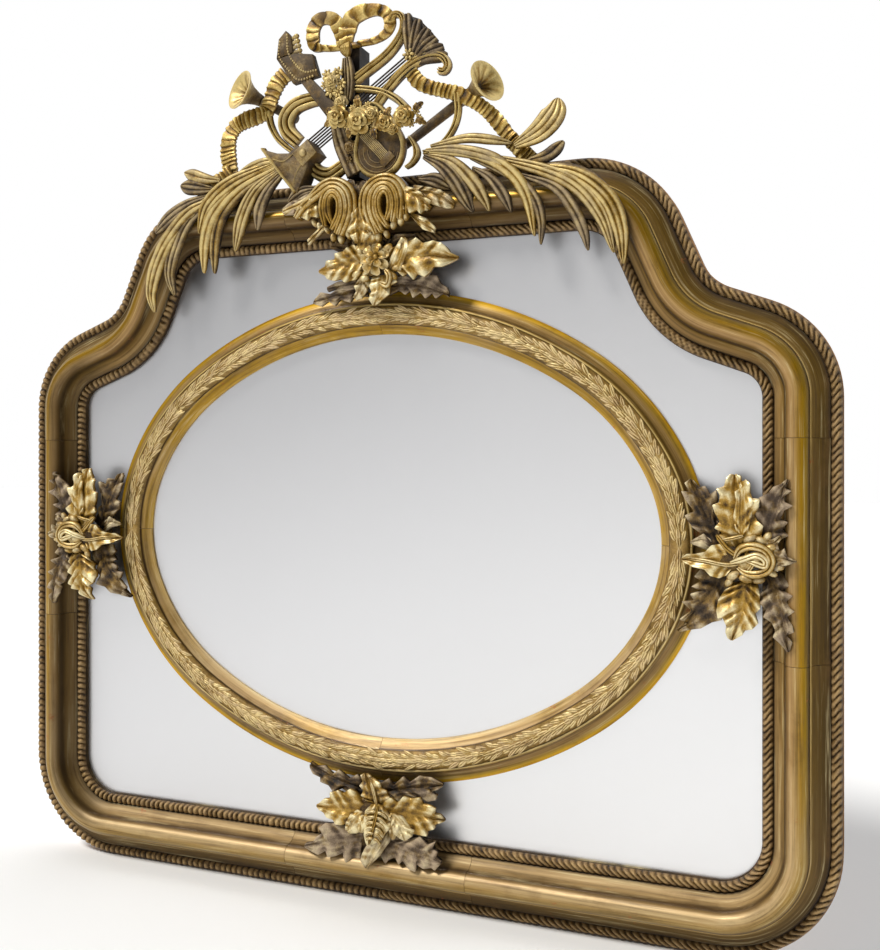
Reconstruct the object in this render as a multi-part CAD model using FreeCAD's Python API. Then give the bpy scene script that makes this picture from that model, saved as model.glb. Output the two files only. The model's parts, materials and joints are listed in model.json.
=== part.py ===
import FreeCAD, Part
import math
import os
from FreeCAD import Vector

# Trumeau mirror: a gilded frame with shaped shoulders, an oval frame laid over the glass,
# four leaf clasps that cover the joints of the plates, and a carved trophy as cresting.
# Millimetres. X runs to the viewer's right and Z up. The wall is the plane Y = 0 and the
# front faces -Y, so a depth is the distance in front of the wall. Z = 0 is the underside.

# ---- outline of the frame, right half, walked from the middle of the bottom -------------
HALF_WIDTH = 736.2          # centre line to the outer side of the frame
CORNER_RADIUS = 180.0       # lower corners
SHOULDER_START = 842.7      # height where the straight side ends
SHOULDER_RADIUS = 155.0     # lower round of the shoulder
SHOULDER_TURN = 69.3        # degrees
SLOPE_LENGTH = 63.7         # gentle slope above that round
HOLLOW_RADIUS = 73.8        # re-entrant curve of the shoulder
HOLLOW_TURN = 45.8          # degrees
STEEP_LENGTH = 82.0         # steep run up to the top round
TOP_RADIUS = 169.4          # upper round, tangent to the level top

# ---- depths, in front of the wall --------------------------------------------------------
CARCASS_DEPTH = 26.0
PLATE_BACK = 18.0
PLATE_THICKNESS = 4.0
PANEL_THICKNESS = 6.0
BATTEN_THICKNESS = 10.0
JOINT_GAP = 0.4             # between neighbouring lengths of moulding and between rails

# ---- frame moulding, measured inwards from the outline ------------------------------------
CARCASS_WIDTH = 104.0
MOULDING_WIDTH = 114.0      # outline to sight edge
REBATE_LAP = 0.6            # moulding lip to carcass edge
OUTER_ROPE_INSET = 1.5
ROPE_SEAT = 18.0            # the outer rope lies outside this line
ROPE_HEIGHT = 12.0
ROPE_PLAY = 0.3             # rope to moulding
COVE_FOOT_DEPTH = 33.0
COVE_WIDTH = 26.0
COVE_BELLY_INSET = 16.1     # the point that a cove's arc passes through
COVE_BELLY_RISE = 7.5
STEP_DEPTH = 58.0
STEP_WIDTH = 2.0
TORUS_WIDTH = 34.0
TORUS_EDGE_DEPTH = 60.0
TORUS_CROWN_DEPTH = 72.0
INNER_COVE_WIDTH = 17.0
INNER_COVE_FOOT_DEPTH = 33.0
INNER_BELLY_INSET = 5.8
INNER_BELLY_RISE = 8.6
SIGHT_SEAT_DEPTH = 27.0
SIGHT_ROPE_MARGIN = 0.6
CLASP_REACH = 165.0         # joints of the moulding beside a clasp

# ---- oval frame ---------------------------------------------------------------------------
SIDE_GAP = 77.7             # glass seen between the frame and the oval
LOWER_GAP = 87.2
UPPER_GAP = 80.0
OVAL_END_TURN = 26.0        # degrees of the tight end arc
OVAL_MIDDLE_TURN = 30.0     # degrees of the arc beside it
OVAL_WIDTH = 72.0
OVAL_EDGE_HEIGHT = 5.0
OVAL_COVE_WIDTH = 22.0
OVAL_COVE_HEIGHT = 21.0
OVAL_BELLY_INSET = 13.6
OVAL_BELLY_RISE = 5.8
OVAL_FILLET_WIDTH = 4.0
LAUREL_WIDTH = 31.0
LAUREL_SEAT_HEIGHT = 20.0
LAUREL_HEIGHT = 10.0
OVAL_INNER_STEP = 18.0
OVAL_INNER_EDGE_HEIGHT = 3.0
OVAL_INNER_BELLY_INSET = 6.0
OVAL_INNER_BELLY_RISE = 6.0
OVAL_PLATE_LAP = 20.0       # oval plate under its frame
PLATE_GAP = 1.0
FIELD_CLEARANCE = 2.0       # glass edge to carcass

# ---- back ---------------------------------------------------------------------------------
RAIL_HALF_LENGTH = 470.0
TOP_RAIL_HALF_LENGTH = 250.0
TENON_LENGTH = 42.0
TENON_THICKNESS = 9.0
TENON_BACK = 8.5
TENON_SHOULDER = 16.0
TENON_CLEARANCE = 0.2
UPPER_BATTEN_Z = 790.0
LOWER_BATTEN_Z = 330.0
BATTEN_WIDTH = 70.0
BATTEN_LAP = 28.0           # batten end housed in the stile
BATTEN_CLEARANCE = 0.3
SCREW_RISE = 17.5           # screws above and below a batten's middle
BLOCK_LENGTH = 60.0
BLOCK_SIDE = 9.0
BLOCK_DROP = 120.0          # side blocks below the battens
BLOCK_INNER_X = 100.0       # blocks along the bottom rail
BLOCK_OUTER_X = 300.0
BLOCK_TOP_X = 120.0         # blocks along the top rail
SCREW_RADIUS = 2.0
SCREW_HEAD_RADIUS = 4.0
SCREW_HEAD_HEIGHT = 2.2
SCREW_CLEARANCE = 0.1
BATTEN_SCREW_LENGTH = 20.0
STRAP_SCREW_LENGTH = 14.0
SCREW_HOLE_COVER = 1.0      # wood left in front of a screw hole

# ---- hangers ------------------------------------------------------------------------------
RING_INSET = 46.2           # ring to the outer side of the frame
RING_DROP = 30.0            # hinge axis of the rings below the upper batten's middle
RING_WIRE_RADIUS = 2.0
RING_BEND_RADIUS = 14.0     # to the middle of the wire
RING_LEG = 12.0
RING_AXIS_DEPTH = 4.4
LOOP_CLEARANCE = 0.1
LOOP_WALL = 1.5
STRAP_WIDTH = 18.0
STRAP_LENGTH = 50.0
STRAP_LOWER_SCREW = 20.0    # above the hinge axis
STRAP_UPPER_SCREW = 40.0
STRAP_THICKNESS = 2.0
POCKET_DEPTH = 9.0
POCKET_HALF_WIDTH = 22.0
POCKET_BELOW = 34.0
POCKET_ABOVE = 56.0

# ---- clasps, heights above the glass ------------------------------------------------------
SIDE_CLASP_DROP = 12.0      # side clasps below the oval's level axis
CLASP_CORE_RADIUS = 18.0
CLASP_CORE_HEIGHT = 43.0
CLASP_HUB_RADIUS = 21.0
CLASP_HUB_HEIGHT = 12.0
CLASP_BUD_RADIUS = 15.0
LEAF_THICKNESS = 6.0
LEAF_WIDEST = 0.45          # share of a leaf's length
LEAF_OVERLAP = 2.0          # leaves sunk into the hub
GOLD_LEAF_LENGTH = 120.0
GOLD_LEAF_WIDTH = 66.0
GOLD_TIP_HEIGHT = 17.0
TONGUE_WIDTH = 32.0
OVAL_TONGUE_LENGTH = 75.0
FRAME_TONGUE_LENGTH = 84.0
DARK_ALONG = 118.0
DARK_TO_FRAME = 74.0
DARK_TO_OVAL = 62.0
DARK_LEAF_WIDTH = 42.0
DARK_ROOT_HEIGHT = 27.0
DARK_OVAL_HEIGHT = 25.0
DARK_FRAME_HEIGHT = 46.0
DARK_FRAME_ARCH = 5.0
DARK_OVAL_ARCH = 1.0
GOLD_DROP = 3.0             # middle of a gold leaf below its root
TONGUE_ARCH = 6.0
TONGUE_REST = 2.5           # tongue above the torus
OVAL_TONGUE_DROP = 6.0
SHORT_DARK_REACH = 40.0     # the top clasp tucks under the cresting
SHORT_TONGUE_LENGTH = 62.0

# ---- cresting -----------------------------------------------------------------------------
CARVING_GRID = 10.0         # squares on which the carving is drawn
POST_X = -44.0
POST_WIDTH = 24.0
POST_RISE = 223.0           # above the top of the frame
POST_BACK = 10.0
POST_TENON = 50.0
POST_TENON_THICKNESS = 12.0
TROPHY_BACK = 49.5          # post front, and back of the lyre, ribbons and bow
TROPHY_LAYER = 14.0         # thickness of one layer of carving
RIBBON_THICKNESS = 11.0
RIBBON_WIDTH = 25.0
TAIL_WIDTH = 12.0
LOOP_WIDTH = 17.5           # ribbon of the bow's loops
KNOT_RADIUS = 15.0
KNOT_RISE = 6.0
LYRE_ARM_WIDTH = 17.0
LYRE_BAR_WIDTH = 13.6
LYRE_BLOCK_RADIUS = 19.0
LYRE_BLOCK_RISE = 3.0
STRING_RADIUS = 0.9
STRING_PITCH = 5.0
STRING_COUNT = 6
TRUMPET_AXIS_DEPTH = 40.0
TRUMPET_END_RADIUS = 7.2
TRUMPET_TUBE_RADIUS = 9.0
TRUMPET_WAIST_RADIUS = 16.8
TRUMPET_WAIST_LENGTH = 31.0
TRUMPET_BELL_RADIUS = 35.0
TRUMPET_BELL_LENGTH = 50.0
TRUMPET_RIM = 4.0
TRUMPET_THROAT = 22.5
LUTE_RADIUS = 47.0
LUTE_SHOULDER_RADIUS = 42.0
LUTE_RIM = 5.0
LUTE_WELL_DEPTH = 4.0
GARLAND_WIDTH = 16.0
GARLAND_THICKNESS = 7.0
ROSE_RADIUS = 17.0
FRONT_SEAT_GAP = 0.3        # carving in front of the moulding's crown
PALM_THICKNESS = 9.0
PALM_WIDTH = 21.0
BLADE_ROOT_SHARE = 0.22     # half width of a blade's root to its width
SCROLL_MIDDLE_X = -6.0
SCROLL_SPREAD = 45.0        # scroll eyes left and right of that
SCROLL_DROP = 47.0          # scroll eyes below the top of the frame
SCROLL_RADIUS = 34.0
SCROLL_THICKNESS = 34.0
SCROLL_EYE_RADIUS = 5.0
SCROLL_EYE_DEPTH = 12.0
SIDE_LEAF_REACH = 156.0
SIDE_LEAF_DROP = 8.0
SIDE_LEAF_WIDTH = 44.0
SIDE_LEAF_ARCH = 6.0
LOW_LEAF_REACH = 110.0
LOW_LEAF_START = 12.0
LOW_LEAF_DROP = 56.0
LOW_LEAF_WIDTH = 24.0
LOW_LEAF_ARCH = 3.0
LOW_LEAF_DIP = 4.0
CREST_LEAF_THICKNESS = 9.0
BOSS_DROP = 14.0
BOSS_RADIUS = 26.0
BOSS_SET_BACK = 8.0
FALL_RISE = 20.0
FALL_DROP = 62.0
FALL_WIDTH = 46.0
FALL_LIFT = 14.0
FALL_ARCH = 2.0
FALL_DIP = 4.0


# ---- small helpers ------------------------------------------------------------------------
def at(x, z, depth):
    """A point from its place on the wall and its distance in front of it."""
    return Vector(x, -depth, z)


def slab(x0, x1, z0, z1, back, front):
    """A board between two depths."""
    return Part.makeBox(x1 - x0, front - back, z1 - z0, at(x0, z0, front))


def disc(x, z, radius, back, front):
    """A round block standing on the plane at depth back."""
    return Part.makeCylinder(radius, front - back, at(x, z, back), Vector(0, -1, 0))


def plate(edges, back, front):
    """The flat piece inside a closed chain of edges drawn at depth back."""
    face = Part.Face(Part.Wire(edges))
    return face.extrude(Vector(0, -(front - back), 0))


def arc(a, b, c):
    return Part.Arc(a, b, c).toShape()


def line(a, b):
    return Part.makeLine(a, b)


def joined(pieces):
    """One solid from pieces that touch or overlap."""
    if len(pieces) == 1:
        return pieces[0]
    return pieces[0].multiFuse(pieces[1:]).removeSplitter()


def mirrored(shape):
    """The same piece on the other side of the centre line."""
    return shape.mirror(Vector(0, 0, 0), Vector(1, 0, 0))


def group(pieces):
    return Part.makeCompound(pieces)


# ---- paths made of straight runs and tangent arcs -----------------------------------------
class Run:
    """A straight run or an arc, with its start, heading and length along the path."""

    def __init__(self, x, z, heading, length=0.0, radius=0.0, turn=0.0):
        self.x = x
        self.z = z
        self.heading = heading
        self.radius = radius
        self.turn = turn
        self.length = length if radius == 0.0 else radius * abs(turn)

    def side(self):
        return 1.0 if self.turn > 0 else -1.0

    def centre(self):
        reach = self.side() * self.radius
        return self.x - reach * math.sin(self.heading), self.z + reach * math.cos(self.heading)

    def place(self, s):
        """Point and heading at distance s along the run."""
        if self.radius == 0.0:
            return self.x + s * math.cos(self.heading), self.z + s * math.sin(self.heading), self.heading
        cx, cz = self.centre()
        reach = self.side() * self.radius
        heading = self.heading + self.side() * s / self.radius
        return cx + reach * math.sin(heading), cz - reach * math.cos(heading), heading

    def offset_point(self, s, inward, depth):
        x, z, heading = self.place(s)
        return at(x - inward * math.sin(heading), z + inward * math.cos(heading), depth)

    def edge(self, s0, s1, inward, depth):
        """The run's line between two distances, moved inwards."""
        first = self.offset_point(s0, inward, depth)
        last = self.offset_point(s1, inward, depth)
        if self.radius == 0.0:
            return line(first, last)
        return arc(first, self.offset_point((s0 + s1) / 2, inward, depth), last)

    def sweep(self, section, s0, s1):
        """The section carried along the run from s0 to s1."""
        edges = [piece(self, s0) for piece in section]
        face = Part.Face(Part.Wire(edges))
        if self.radius == 0.0:
            step = s1 - s0
            return face.extrude(Vector(step * math.cos(self.heading), 0, step * math.sin(self.heading)))
        cx, cz = self.centre()
        turn = math.degrees((s1 - s0) / self.radius)
        return face.revolve(at(cx, cz, 0), Vector(0, -self.side(), 0), turn)


def follow(x, z, heading, steps):
    """Tangent runs from a list of (length, radius, turn in radians)."""
    runs = []
    for length, radius, turn in steps:
        run = Run(x, z, heading, length, radius, turn)
        runs.append(run)
        x, z, heading = run.place(run.length)
    return runs


def path_length(runs):
    return sum(run.length for run in runs)


def stretch(runs, section, start, end):
    """The section carried along a chain of runs between two path distances."""
    pieces = []
    passed = 0.0
    for run in runs:
        s0 = max(start - passed, 0.0)
        s1 = min(end - passed, run.length)
        if s1 - s0 > 0.001:
            pieces.append(run.sweep(section, s0, s1))
        passed += run.length
    return joined(pieces)


def section_of(points):
    """A section from corners (inward, depth); a corner of four values is an arc's end.

    The third and fourth values are then the point that the arc passes through."""
    pieces = []
    for index, corner in enumerate(points):
        before = points[index - 1][:2]
        pieces.append(section_edge(before, corner))
    return pieces


def section_edge(before, corner):
    def build(run, s):
        first = run.offset_point(s, before[0], before[1])
        last = run.offset_point(s, corner[0], corner[1])
        if len(corner) == 2:
            return line(first, last)
        return arc(first, run.offset_point(s, corner[2], corner[3]), last)
    return build


# ---- frame outline ------------------------------------------------------------------------
def frame_runs():
    first_turn = math.radians(SHOULDER_TURN)
    hollow = math.radians(HOLLOW_TURN)
    last_turn = math.pi / 2 - first_turn + hollow
    steps = [(HALF_WIDTH - CORNER_RADIUS, 0.0, 0.0),
             (0.0, CORNER_RADIUS, math.pi / 2),
             (SHOULDER_START - CORNER_RADIUS, 0.0, 0.0),
             (0.0, SHOULDER_RADIUS, first_turn),
             (SLOPE_LENGTH, 0.0, 0.0),
             (0.0, HOLLOW_RADIUS, -hollow),
             (STEEP_LENGTH, 0.0, 0.0),
             (0.0, TOP_RADIUS, last_turn)]
    runs = follow(0.0, 0.0, 0.0, steps)
    x, z, heading = runs[-1].place(runs[-1].length)
    runs.append(Run(x, z, heading, x))
    return runs


FRAME = frame_runs()
FRAME_LENGTH = path_length(FRAME)
FRAME_TOP = FRAME[-1].z
SIGHT_TOP = FRAME_TOP - MOULDING_WIDTH
SIGHT_SIDE = HALF_WIDTH - MOULDING_WIDTH
GLASS_FRONT = PLATE_BACK + PLATE_THICKNESS
OVAL_HALF_LENGTH = SIGHT_SIDE - SIDE_GAP
OVAL_BOTTOM = MOULDING_WIDTH + LOWER_GAP
OVAL_TOP = SIGHT_TOP - UPPER_GAP
OVAL_HALF_HEIGHT = (OVAL_TOP - OVAL_BOTTOM) / 2
OVAL_CENTRE_Z = (OVAL_TOP + OVAL_BOTTOM) / 2
RING_X = HALF_WIDTH - RING_INSET
RING_Z = UPPER_BATTEN_Z - RING_DROP


def side_distance(z):
    """Path distance of a height on the straight side."""
    return HALF_WIDTH - CORNER_RADIUS + CORNER_RADIUS * math.pi / 2 + z - CORNER_RADIUS


def half_outline(runs, inward, depth):
    edges = [run.edge(0.0, run.length, inward, depth) for run in runs]
    return edges + [mirrored(edge) for edge in edges]


def field(inward, back, front):
    """The whole area inside a line parallel to the frame's outline."""
    edges = half_outline(FRAME, inward, back)
    wire = Part.Wire(Part.__sortEdges__(edges))
    return Part.Face(wire).extrude(Vector(0, -(front - back), 0))


# ---- oval ---------------------------------------------------------------------------------
def oval_radii():
    """Radii of the three arcs of a quarter, from the end to the top."""
    first = math.radians(OVAL_END_TURN)
    second = first + math.radians(OVAL_MIDDLE_TURN)
    a = OVAL_HALF_LENGTH
    b = OVAL_HALF_HEIGHT
    middle = (first + second) / 2
    spread = (a * math.cos(middle)) ** 2 + (b * math.sin(middle)) ** 2
    r2 = (a * b) ** 2 / spread ** 1.5
    m11 = 1 - math.cos(first)
    m12 = math.cos(second)
    m21 = math.sin(first)
    m22 = 1 - math.sin(second)
    p = a - r2 * (math.cos(first) - math.cos(second))
    q = b - r2 * (math.sin(second) - math.sin(first))
    determinant = m11 * m22 - m12 * m21
    r1 = (p * m22 - m12 * q) / determinant
    r3 = (m11 * q - m21 * p) / determinant
    return r1, r2, r3


def oval_runs():
    """The upper right quarter of the oval's outer edge, from its end to its top."""
    r1, r2, r3 = oval_radii()
    first = math.radians(OVAL_END_TURN)
    second = math.radians(OVAL_MIDDLE_TURN)
    steps = [(0.0, r1, first), (0.0, r2, second), (0.0, r3, math.pi / 2 - first - second)]
    return follow(OVAL_HALF_LENGTH, OVAL_CENTRE_Z, math.pi / 2, steps)


OVAL = oval_runs()
OVAL_QUARTER = path_length(OVAL)


def flipped(shape):
    """The same piece on the other side of the oval's level axis."""
    return shape.mirror(Vector(0, 0, OVAL_CENTRE_Z), Vector(0, 0, 1))


def oval_area(inward, back, front):
    """The area inside a line parallel to the oval's outer edge."""
    quarter = [run.edge(0.0, run.length, inward, back) for run in OVAL]
    upper = quarter + [mirrored(edge) for edge in quarter]
    edges = upper + [flipped(edge) for edge in upper]
    wire = Part.Wire(Part.__sortEdges__(edges))
    return Part.Face(wire).extrude(Vector(0, -(front - back), 0))


# ---- carcass ------------------------------------------------------------------------------
def carcass_section():
    return section_of([(0.0, 0.0), (0.0, CARCASS_DEPTH),
                       (CARCASS_WIDTH, CARCASS_DEPTH), (CARCASS_WIDTH, 0.0)])


def tenon(x_start, x_end, z_outer, z_inner, play):
    """The tongue at a rail's end; with play it is the mortise that takes it."""
    low = min(z_outer, z_inner) + TENON_SHOULDER - play
    high = max(z_outer, z_inner) - TENON_SHOULDER + play
    return slab(x_start, x_end + play, low, high, TENON_BACK - play, TENON_BACK + TENON_THICKNESS + play)


def bottom_tenon(play):
    return tenon(RAIL_HALF_LENGTH - JOINT_GAP, RAIL_HALF_LENGTH + TENON_LENGTH, 0.0, CARCASS_WIDTH, play)


def top_tenon(play):
    start = TOP_RAIL_HALF_LENGTH - JOINT_GAP
    return tenon(start, TOP_RAIL_HALF_LENGTH + TENON_LENGTH, FRAME_TOP, FRAME_TOP - CARCASS_WIDTH, play)


def bottom_rail():
    rail = slab(-RAIL_HALF_LENGTH, RAIL_HALF_LENGTH, 0.0, CARCASS_WIDTH, 0.0, CARCASS_DEPTH)
    end = bottom_tenon(0.0)
    return joined([rail, end, mirrored(end)])


def post_tenon(play):
    low = FRAME_TOP - POST_TENON - play
    half = POST_WIDTH / 2 + play
    front = POST_BACK + POST_TENON_THICKNESS + play
    return slab(POST_X - half, POST_X + half, low, FRAME_TOP, POST_BACK - play, front)


def top_rail():
    rail = slab(-TOP_RAIL_HALF_LENGTH, TOP_RAIL_HALF_LENGTH,
                FRAME_TOP - CARCASS_WIDTH, FRAME_TOP, 0.0, CARCASS_DEPTH)
    end = top_tenon(0.0)
    return joined([rail, end, mirrored(end)]).cut(post_tenon(TENON_CLEARANCE))


def right_stile():
    start = RAIL_HALF_LENGTH + JOINT_GAP
    end = FRAME_LENGTH - TOP_RAIL_HALF_LENGTH - JOINT_GAP
    stile = stretch(FRAME, carcass_section(), start, end)
    cutters = [bottom_tenon(TENON_CLEARANCE), top_tenon(TENON_CLEARANCE), hanger_pocket()]
    for z in (LOWER_BATTEN_Z, UPPER_BATTEN_Z):
        cutters.append(batten(z, BATTEN_CLEARANCE))
    for x, z in batten_screw_places() + strap_screw_places():
        if x > 0:
            cutters.append(screw_hole(x, z))
    return stile.cut(group(cutters))


# ---- back ---------------------------------------------------------------------------------
def batten_half_length():
    """Battens run from one stile's housing to the other's."""
    return HALF_WIDTH - CARCASS_WIDTH + BATTEN_LAP


def batten(z, play):
    half = batten_half_length() + play
    return slab(-half, half, z - BATTEN_WIDTH / 2 - play, z + BATTEN_WIDTH / 2 + play,
                PLATE_BACK - PANEL_THICKNESS - BATTEN_THICKNESS - play,
                PLATE_BACK - PANEL_THICKNESS)


def batten_screw_places():
    places = []
    for z in (LOWER_BATTEN_Z, UPPER_BATTEN_Z):
        for side in (-1, 1):
            for rise in (-SCREW_RISE, SCREW_RISE):
                places.append((side * (batten_half_length() - BATTEN_LAP / 2), z + rise))
    return places


def strap_screw_places():
    places = []
    for side in (-1, 1):
        for rise in (STRAP_LOWER_SCREW, STRAP_UPPER_SCREW):
            places.append((side * RING_X, RING_Z + rise))
    return places


def screw(x, z, head_depth, length):
    """A countersunk screw driven forwards from the back."""
    forward = Vector(0, -1, 0)
    head = Part.makeCone(SCREW_HEAD_RADIUS, SCREW_RADIUS, SCREW_HEAD_HEIGHT, at(x, z, head_depth), forward)
    shank = Part.makeCylinder(SCREW_RADIUS, length, at(x, z, head_depth), forward)
    return joined([head, shank])


def screw_hole(x, z):
    return disc(x, z, SCREW_RADIUS + SCREW_CLEARANCE, 0.0, CARCASS_DEPTH - SCREW_HOLE_COVER)


def head_sink(x, z, depth):
    """The countersink for a screw whose head lies at a depth."""
    forward = Vector(0, -1, 0)
    top = SCREW_HEAD_RADIUS + SCREW_CLEARANCE
    foot = SCREW_RADIUS + SCREW_CLEARANCE
    return Part.makeCone(top, foot, SCREW_HEAD_HEIGHT, at(x, z, depth), forward)


def batten_back():
    return PLATE_BACK - PANEL_THICKNESS - BATTEN_THICKNESS


def cross_batten(z):
    board = batten(z, 0.0)
    cutters = []
    for x, height in batten_screw_places():
        if abs(height - z) < BATTEN_WIDTH:
            cutters.append(screw_hole(x, height))
            cutters.append(head_sink(x, height, batten_back()))
    return board.cut(group(cutters))


def back_screws():
    screws = [screw(x, z, batten_back(), BATTEN_SCREW_LENGTH) for x, z in batten_screw_places()]
    strap_back = POCKET_DEPTH - STRAP_THICKNESS
    screws += [screw(x, z, strap_back, STRAP_SCREW_LENGTH) for x, z in strap_screw_places()]
    return group(screws)


def back_panel():
    """The right half of the panel behind the glass."""
    back = PLATE_BACK - PANEL_THICKNESS
    area = field(CARCASS_WIDTH + FIELD_CLEARANCE, back, PLATE_BACK)
    return area.common(slab(PLATE_GAP / 2, HALF_WIDTH, 0.0, FRAME_TOP, back, PLATE_BACK))


def glazing_block(x, z, wide, high):
    return slab(x, x + wide, z, z + high, batten_back(), PLATE_BACK - PANEL_THICKNESS)


def glazing_blocks():
    """Blocks glued round the inside of the carcass, behind the panels."""
    inner_side = HALF_WIDTH - CARCASS_WIDTH
    halfway = (LOWER_BATTEN_Z + UPPER_BATTEN_Z) / 2
    blocks = []
    for z in (LOWER_BATTEN_Z - BLOCK_DROP, halfway, UPPER_BATTEN_Z - BLOCK_DROP):
        blocks.append(glazing_block(inner_side - BLOCK_SIDE, z, BLOCK_SIDE, BLOCK_LENGTH))
    half = BLOCK_LENGTH / 2
    for x in (BLOCK_INNER_X, BLOCK_OUTER_X):
        blocks.append(glazing_block(x - half, CARCASS_WIDTH, BLOCK_LENGTH, BLOCK_SIDE))
    top_edge = FRAME_TOP - CARCASS_WIDTH
    blocks.append(glazing_block(BLOCK_TOP_X - half, top_edge - BLOCK_SIDE, BLOCK_LENGTH, BLOCK_SIDE))
    return group(blocks + [mirrored(block) for block in blocks])


# ---- hangers ------------------------------------------------------------------------------
def hanger_pocket():
    """The recess in the stile's back that holds strap and ring."""
    return slab(RING_X - POCKET_HALF_WIDTH, RING_X + POCKET_HALF_WIDTH,
                RING_Z - POCKET_BELOW, RING_Z + POCKET_ABOVE, 0.0, POCKET_DEPTH)


def hanger_strap():
    bore = RING_WIRE_RADIUS + LOOP_CLEARANCE
    left = at(RING_X - STRAP_WIDTH / 2, RING_Z, RING_AXIS_DEPTH)
    along = Vector(1, 0, 0)
    loop = Part.makeCylinder(bore + LOOP_WALL, STRAP_WIDTH, left, along)
    half = STRAP_WIDTH / 2
    back = POCKET_DEPTH - STRAP_THICKNESS
    tongue = slab(RING_X - half, RING_X + half, RING_Z, RING_Z + STRAP_LENGTH, back, POCKET_DEPTH)
    strap = joined([loop, tongue]).cut(Part.makeCylinder(bore, STRAP_WIDTH, left, along))
    cutters = []
    for x, z in strap_screw_places():
        if x > 0:
            cutters.append(screw_hole(x, z))
            cutters.append(head_sink(x, z, back))
    return strap.cut(group(cutters))


def hanger_straps():
    strap = hanger_strap()
    return group([strap, mirrored(strap)])


def hanger_ring():
    """A D ring: a straight bar in the strap's loop, two legs and a round end, hanging down."""
    r = RING_WIRE_RADIUS
    reach = RING_BEND_RADIUS
    low = RING_Z - RING_LEG
    bar = Part.makeCylinder(r, 2 * reach, at(RING_X - reach, RING_Z, RING_AXIS_DEPTH), Vector(1, 0, 0))
    pieces = [bar]
    for side in (-1, 1):
        x = RING_X + side * reach
        pieces.append(Part.makeCylinder(r, RING_LEG, at(x, low, RING_AXIS_DEPTH), Vector(0, 0, 1)))
        pieces.append(Part.makeSphere(r, at(x, RING_Z, RING_AXIS_DEPTH)))
    circle = Part.Wire(Part.Circle(at(RING_X + reach, low, RING_AXIS_DEPTH), Vector(0, 0, 1), r).toShape())
    bend = Part.Face(circle).revolve(at(RING_X, low, RING_AXIS_DEPTH), Vector(0, 1, 0), 180.0)
    return joined(pieces + [bend])


# ---- glass --------------------------------------------------------------------------------
def oval_mirror_plate():
    return oval_area(OVAL_WIDTH - OVAL_PLATE_LAP, PLATE_BACK, GLASS_FRONT)


def spandrel(low, high):
    """The right-hand plate beside the oval between two heights; its joints lie behind the clasps."""
    area = field(CARCASS_WIDTH + FIELD_CLEARANCE, PLATE_BACK, GLASS_FRONT)
    hole = oval_area(OVAL_WIDTH - OVAL_PLATE_LAP - PLATE_GAP, PLATE_BACK, GLASS_FRONT)
    corner = slab(PLATE_GAP / 2, HALF_WIDTH, low, high, PLATE_BACK, GLASS_FRONT)
    return area.cut(hole).common(corner)


# ---- frame moulding -----------------------------------------------------------------------
def moulding_section():
    cove_foot = ROPE_SEAT
    cove_head = cove_foot + COVE_WIDTH
    torus_start = cove_head + STEP_WIDTH
    torus_end = torus_start + TORUS_WIDTH
    inner_foot = torus_end + INNER_COVE_WIDTH
    lip = CARCASS_WIDTH + REBATE_LAP
    torus_middle = (torus_start + torus_end) / 2
    cove_belly = (cove_foot + COVE_BELLY_INSET, COVE_FOOT_DEPTH + COVE_BELLY_RISE)
    inner_belly = (torus_end + INNER_BELLY_INSET, INNER_COVE_FOOT_DEPTH + INNER_BELLY_RISE)
    return section_of([
        (cove_foot, CARCASS_DEPTH),
        (cove_foot, COVE_FOOT_DEPTH),
        (cove_head, STEP_DEPTH) + cove_belly,
        (torus_start, STEP_DEPTH),
        (torus_start, TORUS_EDGE_DEPTH),
        (torus_end, TORUS_EDGE_DEPTH, torus_middle, TORUS_CROWN_DEPTH),
        (inner_foot, INNER_COVE_FOOT_DEPTH) + inner_belly,
        (inner_foot, SIGHT_SEAT_DEPTH),
        (MOULDING_WIDTH, SIGHT_SEAT_DEPTH),
        (MOULDING_WIDTH, GLASS_FRONT),
        (lip, GLASS_FRONT),
        (lip, CARCASS_DEPTH)])


def rope_section(start, end, seat, height):
    """A round-topped strip that stands on the plane at depth seat."""
    shoulder = seat + height - (end - start) / 2
    return section_of([(start, seat),
                       (start, shoulder),
                       (end, shoulder, (start + end) / 2, seat + height),
                       (end, seat)])


def outer_rope_section():
    return rope_section(OUTER_ROPE_INSET, ROPE_SEAT - ROPE_PLAY, CARCASS_DEPTH, ROPE_HEIGHT)


def sight_rope_section():
    start = ROPE_SEAT + COVE_WIDTH + STEP_WIDTH + TORUS_WIDTH + INNER_COVE_WIDTH + ROPE_PLAY
    return rope_section(start, MOULDING_WIDTH - SIGHT_ROPE_MARGIN, SIGHT_SEAT_DEPTH, ROPE_HEIGHT)


def middle_moulding(start, end):
    """The straight length at the middle of the top or bottom, from its right half."""
    right = stretch(FRAME, moulding_section(), start, end)
    return joined([right, mirrored(right)])


def side_lengths():
    """The three lengths of moulding on the right side, from the bottom up."""
    low = side_distance(OVAL_CENTRE_Z - CLASP_REACH)
    high = side_distance(OVAL_CENTRE_Z + CLASP_REACH)
    joints = [CLASP_REACH, low, high, FRAME_LENGTH - CLASP_REACH]
    return [stretch(FRAME, moulding_section(), start + JOINT_GAP / 2, end - JOINT_GAP / 2)
            for start, end in zip(joints, joints[1:])]


def half_rope(section):
    return stretch(FRAME, section, JOINT_GAP / 2, FRAME_LENGTH - JOINT_GAP / 2)


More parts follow.
